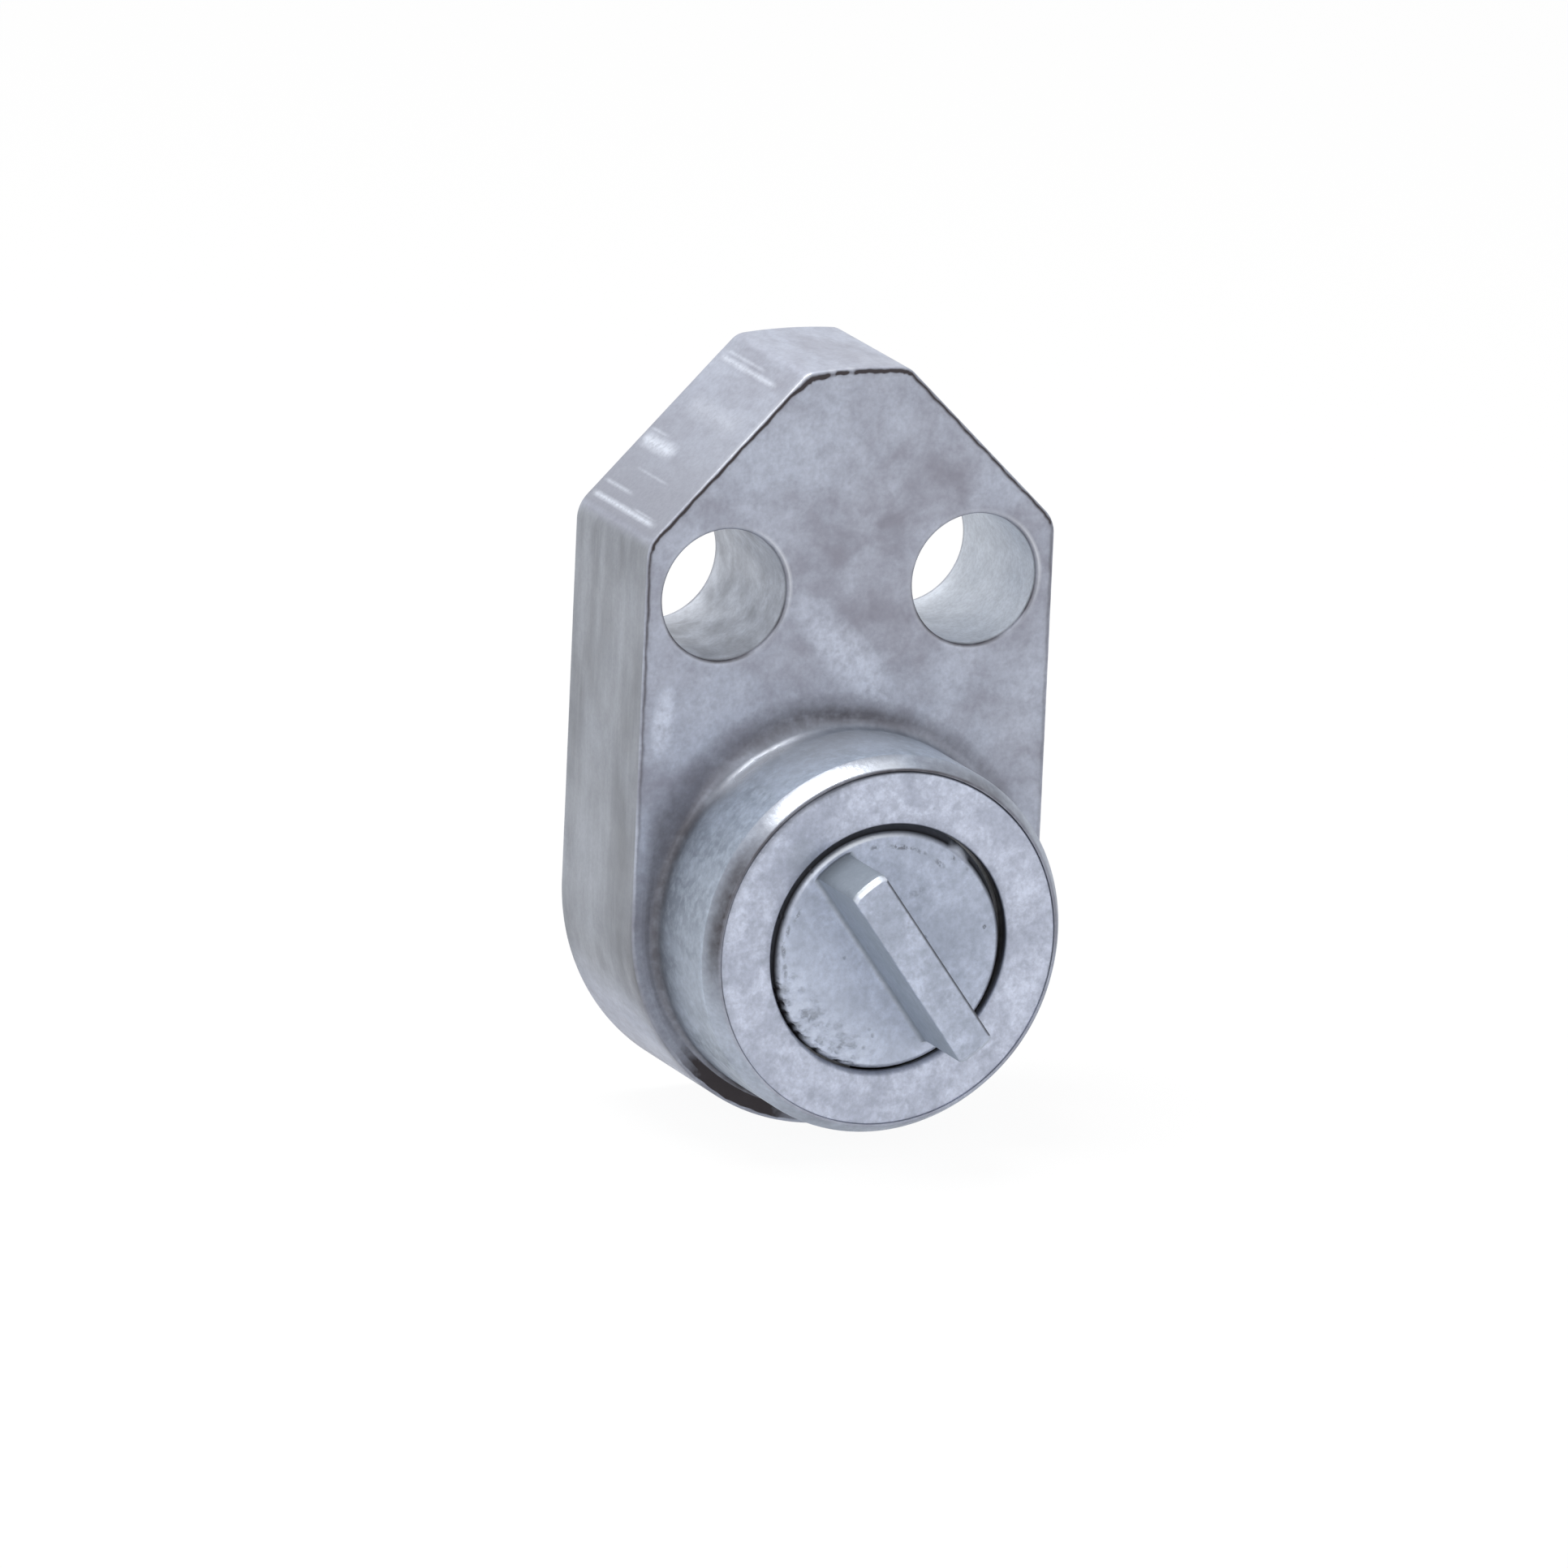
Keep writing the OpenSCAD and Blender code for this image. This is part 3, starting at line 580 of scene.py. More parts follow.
def make_disc(s):
    """Makes the disc, which sits toward the lower right of its opening, and returns its last ring."""
    # A painted highlight on the edge toward the upper left, and painted shade on the edge down in the gap,
    # lighter at the upper left and at the bottom
    crescent_highlight = lobe(110, 50, 0.03, 1.4)
    rim_gap_shade = around({0: 0.8, 50: 0.8, 110: 0.4, 170: 0.8, 215: 0.8, 235: 0.35, 310: 0.35, 340: 0.8})
    clear = around({0: 0.15, 15: 0.24, 30: 0.4, 60: 0.5, 90: 0.57, 165: 0.57, 180: 0.5, 195: 0.3, 210: 0.12,
                    228: 0.03, 330: 0.03, 345: 0.08})

    def rim(inset):
        return lambda t: DRIVER_R - inset - clear(t)

    c, groove = DISC_CHAMFER, (RING_MID - RING_HALF, RING_MID + RING_HALF)
    rings = s.turned([
        (DRIVER_R - 0.3, DISC_BACK), (DRIVER_R - 0.15, DISC_BACK), (DRIVER_R, DISC_BACK + 0.15),
        (DRIVER_R, groove[0]), (RING_IN, groove[0]), (RING_IN, groove[1]), (DRIVER_R, groove[1]),
        (rim(0), DISC_FACE - c - 0.1, dict(dirt=1)), (rim(0.04), DISC_FACE - c + 0.03, dict(dirt=rim_gap_shade)),
        (rim(c * 0.45), DISC_FACE - c * 0.5, dict(shine=crescent_highlight, dirt=lambda t: max(0, rim_gap_shade(t) - 0.4))),
        (rim(c * 0.85), DISC_FACE - c * 0.12, dict(shine=crescent_highlight, dirt=lobe(110, 60, 0.15, 0))),
        (rim(c + 0.06), DISC_FACE), (rim(c + 0.2), DISC_FACE)])
    below, *edge = rings[-7:-3]
    # Each nick is darkened inside, and the burr lightened
    for turn, depth in NICKS:
        for ring in (below, *edge):
            v = ring[round(turn / 360 * TURN)]
            scale_out(v, 1 - depth / (Vector((v.co.x, 0, v.co.z)).length * 1000))
            if ring is not below:
                v.co.y += depth * 0.5 / 1000
            v[s.layer["dirt"]] = 1
    for turn, reach in BURR:
        for ring, k in zip(edge, (1, 0.7, 0.3)):
            v = ring[round(turn / 360 * TURN)]
            scale_out(v, 1 + reach * k / DRIVER_R)
            v[s.layer["dirt"]], v[s.layer["shine"]] = 0, 0.5
    back = s.round_ring(TAIL_R + 1, DISC_BACK)
    s.join(back, rings[0])
    centre = s.bm.verts.new(at(0, 0, DISC_BACK))
    for i in range(TURN):
        s.bm.faces.new((back[i], back[(i + 1) % TURN], centre))
    return rings[-1]


def tongue_ring(s, half, r, out, **shares):
    """Ring round the tongue: two long sides and two ends that follow the disc's curve."""
    tip = 0.12  # radius of its corners
    points, where = [], []
    reach = math.asin((half - tip) / (r - tip))
    for turn, end, first, second in ((0, "low", "left", "right"), (math.pi, "high", "right", "left")):
        ends = [Vector((r * math.cos(t), r * math.sin(t))) for t in spread(-reach, reach, 10)]
        x = math.sqrt((r - tip) ** 2 - half ** 2) - tip * 0.3
        low = [Vector((x, -half)), Vector((x + tip * 0.72, -half + tip * 0.26))]
        high = [Vector((x + tip * 0.72, half - tip * 0.26)), Vector((x, half))]
        whole = [Vector((x * k / 6, -half)) for k in range(6)] + low + ends[1:-1] + high
        whole += [Vector((x * k / 6, half)) for k in range(5, 0, -1)]
        points += [turned_about(p, turn) for p in whole]
        where += [first] * 7 + [end + "_corner"] * 2 + [end + "_end"] * 7 + [end + "_corner"] * 2
        where += [second] * 6
    return s.ring([at(*turned_about(p, TONGUE_TURN), out) for p in points], where, **shares)


def tongue_dirt(place):
    """Painted shade on the tongue's walls."""
    return {"high_end": 0.44, "high_corner": 0.44, "left": 0.26, "right": 0.1}.get(place, 0.15)


def tongue_edge_shadow(place):
    """Painted shadow along the right edge of its top."""
    return 1.2 if place == "right" else 0.0


def tongue_light(place):
    """Painted highlight on the bevel at its high end."""
    return {"high_end": 1.0, "high_corner": 0.3}.get(place, 0.0)


def make_tongue(s):
    """Makes the tongue, and returns the ring round its foot."""
    f, c = TONGUE_FILLET, TONGUE_CHAMFER - 0.07
    feet = [tongue_ring(s, TONGUE_HALF + f + 0.2, TONGUE_R - 0.02, DISC_FACE)]
    # The foot's fillet takes on the walls' painted shade, with more in its corner
    for t in spread(0, math.pi / 2, 5):
        feet.append(tongue_ring(
            s, TONGUE_HALF + f * (1 - math.sin(t)), TONGUE_R, DISC_FACE + f * (1 - math.cos(t)),
            dirt=lambda w, t=t: tongue_dirt(w) * math.sin(t) + 0.3 * math.sin(2 * t), flank=math.sin(t)))
    walls = [tongue_ring(s, TONGUE_HALF, TONGUE_R, out, dirt=tongue_dirt, flank=1)
             for out in spread(DISC_FACE + f + 0.4, TONGUE_TOP - 1.2, 3)]
    tops = []
    # Rings round the top's edge: how far in from the sides and from the ends, how far down, and the strengths
    # of the painted shadow and the painted highlight
    for side_in, end_in, down, dark, light in (
            (0, 0, c + 0.03, 0, 0), (0, 0.01, c - 0.02, 0.3, 1.8), (0.01, c * 0.5, c * 0.5, 0.4, 2),
            (0.02, c * 0.85, c * 0.15, 0.6, 2), (0.06, c - 0.02, 0.01, 0.75, 1.8),
            (0.13, c + 0.03, 0, 0.6, 0), (0.24, c + 0.12, 0, 0, 0)):
        wall = 1 if down > 0.3 else 0
        tops.append(tongue_ring(
            s, TONGUE_HALF - side_in, TONGUE_R - end_in, TONGUE_TOP - down, flank=wall,
            dirt=most((dark, tongue_edge_shadow), (wall, tongue_dirt)), shine=part(light, tongue_light)))
    s.join(*feet, *walls, *tops)
    s.flat(tops[-1])
    return feet[0]


def make_driver():
    s = Skin()
    face = make_disc(s)
    s.flat(face, make_tongue(s))
    driver = s.piece("driver_cast", 60)
    # The slot for the plug's tenon
    place = Matrix.Translation(at(0, 0, DISC_BACK)) @ Matrix.Rotation(-TONGUE_TURN, 4, "Y")
    slot_cut = block("tenon_cut", Vector((20, 2 * TENON_H, 2 * TENON_HALF)) / 1000, place)
    keep = rod("tenon_round", at(0, 0, DISC_BACK - 1), at(0, 0, DISC_BACK + TENON_H), TAIL_R, 96)
    combine(slot_cut, "INTERSECT", [keep])
    combine(driver, "DIFFERENCE", [slot_cut], 60)
    return weigh(driver)


# Pieces that keep their solid's shape, with its edges eased

def dress(node, name, ease):
    sharp = 40  # degrees between faces
    mesh = NODES[node].data.copy()
    mesh.materials.clear()
    bm = bmesh.new()
    bm.from_mesh(mesh)
    bmesh.ops.remove_doubles(bm, verts=bm.verts, dist=2e-6)
    bmesh.ops.dissolve_limit(bm, angle_limit=math.radians(0.4), verts=bm.verts, edges=bm.edges)
    bm.to_mesh(mesh)
    bm.free()
    mesh.name = name
    obj = add_object(name, mesh)
    m = obj.modifiers.new("ease", "BEVEL")
    m.width, m.segments, m.limit_method, m.angle_limit = ease / 1000, 2, "ANGLE", math.radians(35)
    m.harden_normals = True
    smooth(obj, sharp)
    settle(obj, sharp)
    return weigh(obj)


housing = make_housing()
core = make_core()
driver = make_driver()
plug = dress("plug", "plug_turned", 0.06)
screw = dress("core_screw", "screw_body", 0.05)
for obj, body, node in ((housing, "casing", "housing"), (core, "casing", "core"), (driver, "plug", "driver"),
                        (plug, "plug", "plug"), (screw, "casing", "core_screw")):
    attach(obj, body)
    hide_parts(node)

# Each spring as a piece of its own, with its own copy of its mesh, on the casting
springs = []
for i in range(1, 6):
    node = f"pin_spring_{i}"
    spring = add_object(f"spring_{i}", NODES[node].data.copy())
    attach(spring, "casing")
    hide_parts(node)
    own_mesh(spring)
    springs.append((spring, node))


# Materials

class Paint:
    """A metal's shader, built node by node. Patterns are placed in the piece's own coordinates."""

    def __init__(self, name, roughness, metallic):
        self.mat = bpy.data.materials.new(name)
        self.mat.use_nodes = True
        self.tree = self.mat.node_tree
        self.shader = self.tree.nodes["Principled BSDF"]
        self.shader.inputs["Metallic"].default_value = metallic
        self.shader.inputs["Roughness"].default_value = roughness
        self.place = self.node("ShaderNodeTexCoord").outputs["Object"]
        self.bumps = []

    def node(self, kind, **settings):
        n = self.tree.nodes.new(kind)
        for key, value in settings.items():
            setattr(n, key, value)
        return n

    def link(self, a, b):
        self.tree.links.new(a, b)

    def feed(self, socket, value):
        if isinstance(value, bpy.types.NodeSocket):
            self.link(value, socket)
        else:
            socket.default_value = value

    def math(self, op, a, b=0.0, clamp=False):
        n = self.node("ShaderNodeMath", operation=op, use_clamp=clamp)
        self.feed(n.inputs[0], a)
        self.feed(n.inputs[1], b)
        return n.outputs[0]

    def plus(self, a, b):
        return self.math("ADD", a, b)

    def minus(self, a, b, clamp=False):
        return self.math("SUBTRACT", a, b, clamp)

    def times(self, a, b, clamp=False):
        return self.math("MULTIPLY", a, b, clamp)

    def most(self, a, b):
        return self.math("MAXIMUM", a, b)

    def stretch(self, scale, turn=(0, 0, 0)):
        n = self.node("ShaderNodeMapping")
        n.inputs["Scale"].default_value = scale
        n.inputs["Rotation"].default_value = turn
        self.link(self.place, n.inputs["Vector"])
        return n.outputs[0]

    def noise(self, size_mm, detail=2.0, rough=0.5, vector=None, seed=0.0, distortion=0.0):
        """Smooth noise from 0 to 1, with features of about that size."""
        n = self.node("ShaderNodeTexNoise", noise_dimensions="4D")
        n.inputs["Scale"].default_value = 1000 / size_mm
        n.inputs["Detail"].default_value = detail
        n.inputs["Roughness"].default_value = rough
        n.inputs["W"].default_value = seed
        n.inputs["Distortion"].default_value = distortion
        self.link(vector or self.place, n.inputs["Vector"])
        return n.outputs["Fac"]

    def cells(self, size_mm):
        n = self.node("ShaderNodeTexVoronoi", feature="F1")
        n.inputs["Scale"].default_value = 1000 / size_mm
        self.link(self.place, n.inputs["Vector"])
        return n.outputs["Distance"]

    def ramp(self, value, low, high, to_low=0.0, to_high=1.0):
        n = self.node("ShaderNodeMapRange", clamp=True)
        for s, v in zip(n.inputs, (value, low, high, to_low, to_high)):
            self.feed(s, v)
        return n.outputs[0]

    def mix(self, share, a, b):
        n = self.node("ShaderNodeMix", data_type="RGBA")
        self.feed(n.inputs["Factor"], share)
        for s, v in ((n.inputs["A"], a), (n.inputs["B"], b)):
            self.feed(s, v if isinstance(v, bpy.types.NodeSocket) else (*v, 1.0))
        return n.outputs["Result"]

    def away(self, x, z, px, pz):
        """Squared distance from a place, across and up, all in metres."""
        return self.plus(self.math("POWER", self.minus(x, px), 2), self.math("POWER", self.minus(z, pz), 2))

    def oval(self, x, z, px, pz, half_a, half_b, turn):
        """0 in the middle of an oval spot and 1 on its outline. Sizes in mm, turn in degrees."""
        c, s = math.cos(math.radians(turn)), math.sin(math.radians(turn))
        u = self.times(self.minus(x, px / 1000), 1000)
        v = self.times(self.minus(z, pz / 1000), 1000)
        a = self.plus(self.times(u, c / half_a), self.times(v, s / half_a))
        b = self.minus(self.times(v, c / half_b), self.times(u, s / half_b))
        return self.plus(self.times(a, a), self.times(b, b))

    def mark(self, name):
        """A share that the piece's mesh carries."""
        return self.node("ShaderNodeAttribute", attribute_name=name).outputs["Fac"]

    def split(self, socket):
        n = self.node("ShaderNodeSeparateXYZ")
        self.link(socket, n.inputs[0])
        return n.outputs

    def bump(self, height, depth_mm):
        self.bumps.append((height, depth_mm))

    def finish(self, colour, roughness):
        self.link(colour, self.shader.inputs["Base Color"])
        self.link(roughness, self.shader.inputs["Roughness"])
        last = None
        for height, depth in self.bumps:
            n = self.node("ShaderNodeBump")
            n.inputs["Distance"].default_value = depth / 1000
            n.inputs["Strength"].default_value = 1.0
            self.link(height, n.inputs["Height"])
            if last is not None:
                self.link(last, n.inputs["Normal"])
            last = n.outputs["Normal"]
        self.link(last, self.shader.inputs["Normal"])
        return self.mat


# Oval spots: across and up in mm, half-sizes, turn in degrees, strength
FACE_PATCHES = ((-0.2, 19.5, 5.5, 1.7, -47, 0.17), (-14.2, 15.3, 2.4, 0.85, 84, 0.26),
                (7.5, 31.5, 3.6, 2.4, -40, -0.13), (3.6, 20.4, 4.2, 1.4, -50, -0.08),
                (2, 36.5, 3.6, 2.6, 60, -0.05))
DISC_MARKS = ((0.9, 7.35, 1.1, 0.2, -8, 0.8), (-1.3, 7.45, 0.35, 0.18, 10, 0.6),
              (2.4, 6.9, 0.5, 0.16, -25, 0.55), (3.9, 5.95, 0.5, 0.2, -40, 0.65),
              (4.9, 6.3, 0.25, 0.18, -50, 0.75), (2.1, 3.9, 0.7, 0.3, 20, 0.3),
              (7.65, 1.0, 0.15, 0.17, 0, 0.9), (-8.1, 0.4, 0.18, 0.7, 4, 0.65),
              (-7.8, 1.7, 0.16, 0.45, -8, 0.55), (-7.1, 2.8, 0.17, 0.5, -30, 0.55),
              (-7.9, -1.2, 0.2, 0.6, 6, 0.5))
# Way up the slope, half-width, and where each scuff starts and ends along the depth, in mm; strength
SLOPE_SCUFFS = ((10.25, 0.2, 1, 12.6, 0.8), (10.6, 0.1, 1.5, 6, 0.4), (11.5, 0.14, 7, 12.7, 0.5),
                (15.6, 0.5, 6.5, 12.8, 0.85), (16.5, 0.12, 9, 12.8, 0.4), (23.7, 0.2, 2, 12.5, 0.65),
                (24.3, 0.12, 5, 12.5, 0.4), (19.6, 0.7, 2, 11, 0.22), (13.4, 0.1, 4, 10, 0.3))


def slope_wear(p, tone, place, normal, grain):
    """Painted shade on the left slope, most at its lower end, and a little on faces that look up, and scuffs
    that cross the left slope.
    """
    (x, y, z), (nx, nz) = place, normal
    climb = p.times(p.plus(x, z), math.sqrt(0.5) * 1000)
    plain = p.minus(1, p.most(p.mark("pale"), p.mark("flank")), clamp=True)
    slope = p.times(plain, p.times(p.ramp(nz, 0.5, 0.65), p.ramp(p.times(nx, -1), 0.5, 0.65)))
    scuffs = 0.0
    for way_up, half, start, end, strength in SLOPE_SCUFFS:
        off = p.math("ABSOLUTE", p.minus(climb, way_up))
        line = p.times(p.ramp(off, half * 1.7, half * 0.1, 0.0, strength),
                       p.ramp(y, start / 1000, start / 1000 + 0.0015))
        scuffs = p.most(scuffs, p.times(line, p.ramp(y, end / 1000, end / 1000 - 0.001)))
    slope_shade = (0.30, 0.315, 0.37)
    tone = p.mix(p.times(slope, p.ramp(climb, 10, 23, 0.9, 0.2)), tone, slope_shade)
    tone = p.mix(p.times(plain, p.ramp(nz, 0.8, 0.95, 0.0, 0.15)), tone, slope_shade)
    scuffs = p.times(p.times(scuffs, slope), p.ramp(grain, 0.25, 0.5, 0.5, 0.85))
    return p.mix(scuffs, tone, (0.76, 0.81, 0.91))


def casting():
    """Bare die-cast zinc: cloudy, tumbled faces, drawn sides darkened as painted shade, and scuffs across the
    left slope.
    """
    p = Paint("zinc_casting", 0.5, 0.6)
    deep = p.stretch((1, 0.4, 1))
    clouds = p.noise(8.5, 4, 0.6, vector=deep, seed=1.3, distortion=0.8)
    patches = p.noise(3.0, 3, 0.55, vector=deep, seed=4.1, distortion=0.4)
    specks = p.noise(0.8, 2, 0.6, vector=deep, seed=6.2)
    grain = p.noise(0.3, 2, 0.6, seed=2.2)
    x, y, z = p.split(p.place)
    nx, _, nz = p.split(p.node("ShaderNodeTexCoord").outputs["Normal"])
    # The middle of the face is darker, the face round the boss lighter, with a few paler and darker patches
    level = p.ramp(p.away(x, z, 0.002, 0.026), 0.0, 1.4e-4, -0.09, 0.05)
    pale_patch = 0.0
    for *spot, strength in FACE_PATCHES:
        inside = p.oval(x, z, *spot)
        level = p.plus(level, p.ramp(inside, 0.0, 1.6, strength, 0.0))
        if strength > 0.1:
            pale_patch = p.most(pale_patch, p.ramp(inside, 0.1, 1.3, 2 * strength + 0.08, 0.0))
    tone = p.mix(p.ramp(p.plus(clouds, level), 0.36, 0.62), (0.285, 0.288, 0.345), (0.455, 0.49, 0.585))
    tone = p.mix(p.ramp(patches, 0.42, 0.68, 0.0, 0.5), tone, (0.53, 0.57, 0.675))
    on_face = p.times(p.ramp(y, -0.0005, -0.0001), p.ramp(y, 0.0008, 0.0003))
    pale_patch = p.times(p.times(pale_patch, on_face), p.ramp(specks, 0.3, 0.6, 0.5, 1.0))
    tone = p.mix(pale_patch, tone, (0.74, 0.79, 0.92))
    tone = p.mix(p.ramp(specks, 0.3, 0.55, 0.35, 0.0), tone, (0.25, 0.255, 0.31))
    # Sides, with streaks along the height, in a darker tone that paints shade on them
    streaks = p.noise(1.1, 3, 0.6, vector=p.stretch((1, 0.8, 0.09)), seed=3.0)
    blotches = p.noise(4.2, 3, 0.6, vector=p.stretch((1, 0.7, 0.4)), seed=8.4)
    drawn = p.mix(p.ramp(blotches, 0.35, 0.65), (0.235, 0.25, 0.278), (0.37, 0.395, 0.445))
    drawn = p.mix(p.ramp(streaks, 0.42, 0.72, 0.0, 0.45), drawn, (0.48, 0.51, 0.57))
    tone = p.mix(p.ramp(p.math("ABSOLUTE", nx), 0.85, 0.97), tone, drawn)
    # Flank of the boss
    flank = p.mix(p.ramp(patches, 0.35, 0.65), (0.27, 0.315, 0.385), (0.44, 0.505, 0.61))
    flecks = p.noise(0.75, 3, 0.6, seed=13.2)
    flank = p.mix(p.ramp(flecks, 0.42, 0.66, 0.0, 0.55), flank, (0.56, 0.64, 0.755))
    tone = p.mix(p.mark("flank"), tone, flank)
    # Painted light on the walls of the fixing holes, more in the right one
    mottle = p.ramp(p.noise(2.4, 3, 0.5, seed=4.9, distortion=0.5), 0.32, 0.68)
    walls = p.mix(mottle, (0.45, 0.475, 0.525), (0.73, 0.77, 0.845))
    walls = p.mix(p.ramp(x, 0.004, 0.012, 0.0, 0.55), walls, (0.86, 0.92, 1.0))
    tone = p.mix(p.mark("pale"), tone, walls)
    tone = slope_wear(p, tone, (x, y, z), (nx, nz), grain)
    tone = p.mix(p.ramp(grain, 0.35, 0.65, 0.2, 0.0), tone, (0.20, 0.205, 0.25))
    # Worn metal with painted highlights, then soiling with painted shade
    tone = p.mix(p.times(p.mark("shine"), 0.45, clamp=True), tone, (0.86, 0.89, 0.94))
    broken = p.ramp(p.noise(0.9, 2, 0.6, seed=9.9), 0.3, 0.55, 0.8, 1.0)
    tone = p.mix(p.times(p.mark("dirt"), broken, clamp=True), tone, (0.045, 0.038, 0.042))
    rough = p.minus(p.ramp(patches, 0.3, 0.7, 0.58, 0.44), p.times(p.mark("shine"), 0.2, clamp=True))
    p.bump(p.noise(1.6, 2, 0.5, seed=7.7), 0.05)
    p.bump(grain, 0.02)
    return p.finish(tone, rough)


def disc_wear(p, tone, low, seed):
    """The driver's disc: painted light toward the lower left and painted shade toward the upper right, eaten
    and paler patches at its lower left edge, and small marks.
    """
    x, y, z = p.split(p.place)
    low_left = p.plus(p.times(x, -0.695), p.times(z, -0.72))
    on_disc = p.ramp(y, -0.0104, -0.0095)
    # Painted light on the disc's lower left, and painted shade on its upper right
    tone = p.mix(p.times(on_disc, p.ramp(low_left, -0.005, 0.006, 0.0, 0.3)), tone, (0.66, 0.72, 0.86))
    tone = p.mix(p.times(on_disc, p.ramp(low_left, 0.001, -0.007, 0.0, 0.25)), tone, low)
    patchy = p.noise(0.85, 2, 0.55, vector=p.stretch((1, 1, 1.5), (0, math.radians(46), 0)), seed=seed + 12)
    eaten = p.times(p.ramp(low_left, 0.0052, 0.0076), p.ramp(patchy, 0.52, 0.66))
    pale = p.times(p.ramp(low_left, 0.0045, 0.0072), p.ramp(patchy, 0.5, 0.36, 0.0, 0.35))
    tone = p.mix(pale, tone, (0.74, 0.80, 0.92))
    tone = p.mix(p.times(eaten, 0.6), tone, (0.16, 0.175, 0.2))
    p.bump(p.times(eaten, -1), 0.07)
    marks = 0.0
    for *spot, strength in DISC_MARKS:
        marks = p.most(marks, p.ramp(p.oval(x, z, *spot), 0.2, 1.5, strength, 0.0))
    marks = p.times(p.times(marks, on_disc), p.ramp(p.noise(0.3, 2, 0.6, seed=seed + 15), 0.42, 0.55))
    tone = p.mix(marks, tone, (0.13, 0.14, 0.165))
    return p.mix(p.times(p.mark("flank"), 0.6), tone, (0.43, 0.515, 0.595))


def fine_casting(name, low, high, seed, roughness=(0.5, 0.38), metallic=0.65, is_driver=False):
    """Finer casting of the core and the driver, with small pits."""
    p = Paint(name, 0.45, metallic)
    clouds = p.noise(2.8, 4, 0.65, seed=seed, distortion=0.6)
    specks = p.noise(0.6, 3, 0.65, seed=seed + 3)
    grain = p.noise(0.22, 2, 0.6, seed=seed + 5)
    tone = p.mix(p.ramp(clouds, 0.4, 0.6), low, high)
    dark = tuple(c * 0.66 for c in low)
    tone = p.mix(p.ramp(specks, 0.35, 0.6, 0.5, 0.0), tone, dark)
    tone = p.mix(p.ramp(grain, 0.35, 0.65, 0.25, 0.0), tone, dark)
    # Wear and painted highlights lighten the marked edges
    tone = p.mix(p.times(p.mark("shine"), 0.5, clamp=True), tone, (0.88, 0.92, 0.97))
    if is_driver:
        tone = disc_wear(p, tone, low, seed)
    rare = p.ramp(p.noise(1.6, 1, 0.5, seed=seed + 9), 0.58, 0.66)
    pits = p.times(p.ramp(p.cells(0.95), 0.08, 0.24, 1.0, 0.0), rare)
    tone = p.mix(p.times(pits, 0.4 if is_driver else 0.2), tone, (0.12, 0.13, 0.15))
    if not is_driver:
        # A smudge on the core's upper left
        x, _, z = p.split(p.place)
        smudge = p.ramp(p.away(x, z, -0.0069, 0.0071), 2.6e-6, 0.0, 0.0, 0.5)
        tone = p.mix(p.times(smudge, p.ramp(specks, 0.3, 0.6, 0.4, 1.0)), tone, (0.27, 0.30, 0.34))
    # Soiling and painted shade darken the marked places, to black in the gaps
    tone = p.mix(p.mark("dirt"), tone, (0.028, 0.027, 0.032))
    rough = p.minus(p.ramp(specks, 0.3, 0.7, *roughness), p.times(p.mark("shine"), 0.12))
    p.bump(p.times(pits, -1), 0.05)
    p.bump(p.noise(0.9, 2, 0.5, seed=seed + 7), 0.025)
    p.bump(grain, 0.012)
    return p.finish(tone, rough)


def turned_metal(name, low, high, roughness, axis="Y", seed=0.0):
    """Turned finish: fine rings about the axis, and faint clouds."""
    p = Paint(name, roughness, 0.9)
    x, y, z = p.split(p.place)
    a, b, along = {"Y": (x, z, y), "Z": (x, y, z)}[axis]
    r = p.math("SQRT", p.plus(p.times(a, a), p.times(b, b)))
    spin = p.node("ShaderNodeCombineXYZ")
    p.link(r, spin.inputs[0])
    p.link(along, spin.inputs[1])
    rings = p.noise(0.12, 3, 0.7, vector=spin.outputs[0], seed=seed)
    clouds = p.noise(1.8, 2, 0.6, seed=seed + 2)
    tone = p.mix(p.ramp(rings, 0.3, 0.7), low, high)
    tone = p.mix(p.ramp(clouds, 0.4, 0.65, 0.0, 0.35), tone, tuple(c * 0.75 for c in low))
    rough = p.ramp(clouds, 0.3, 0.7, roughness - 0.07, roughness + 0.08)
    p.bump(rings, 0.01)
    return p.finish(tone, rough)


def drawn_metal(name, low, high, roughness, size=0.2, seed=0.0):
    """Stamped or drawn metal: fine clouds and specks."""
    p = Paint(name, roughness, 0.9)
    clouds = p.noise(1.2, 2, 0.6, seed=seed)
    specks = p.noise(size, 2, 0.6, seed=seed + 3)
    tone = p.mix(p.ramp(clouds, 0.35, 0.65), low, high)
    tone = p.mix(p.ramp(specks, 0.4, 0.7, 0.0, 0.4), tone, tuple(c * 0.7 for c in low))
    rough = p.ramp(specks, 0.3, 0.7, roughness - 0.06, roughness + 0.08)
    p.bump(specks, 0.008)
    return p.finish(tone, rough)


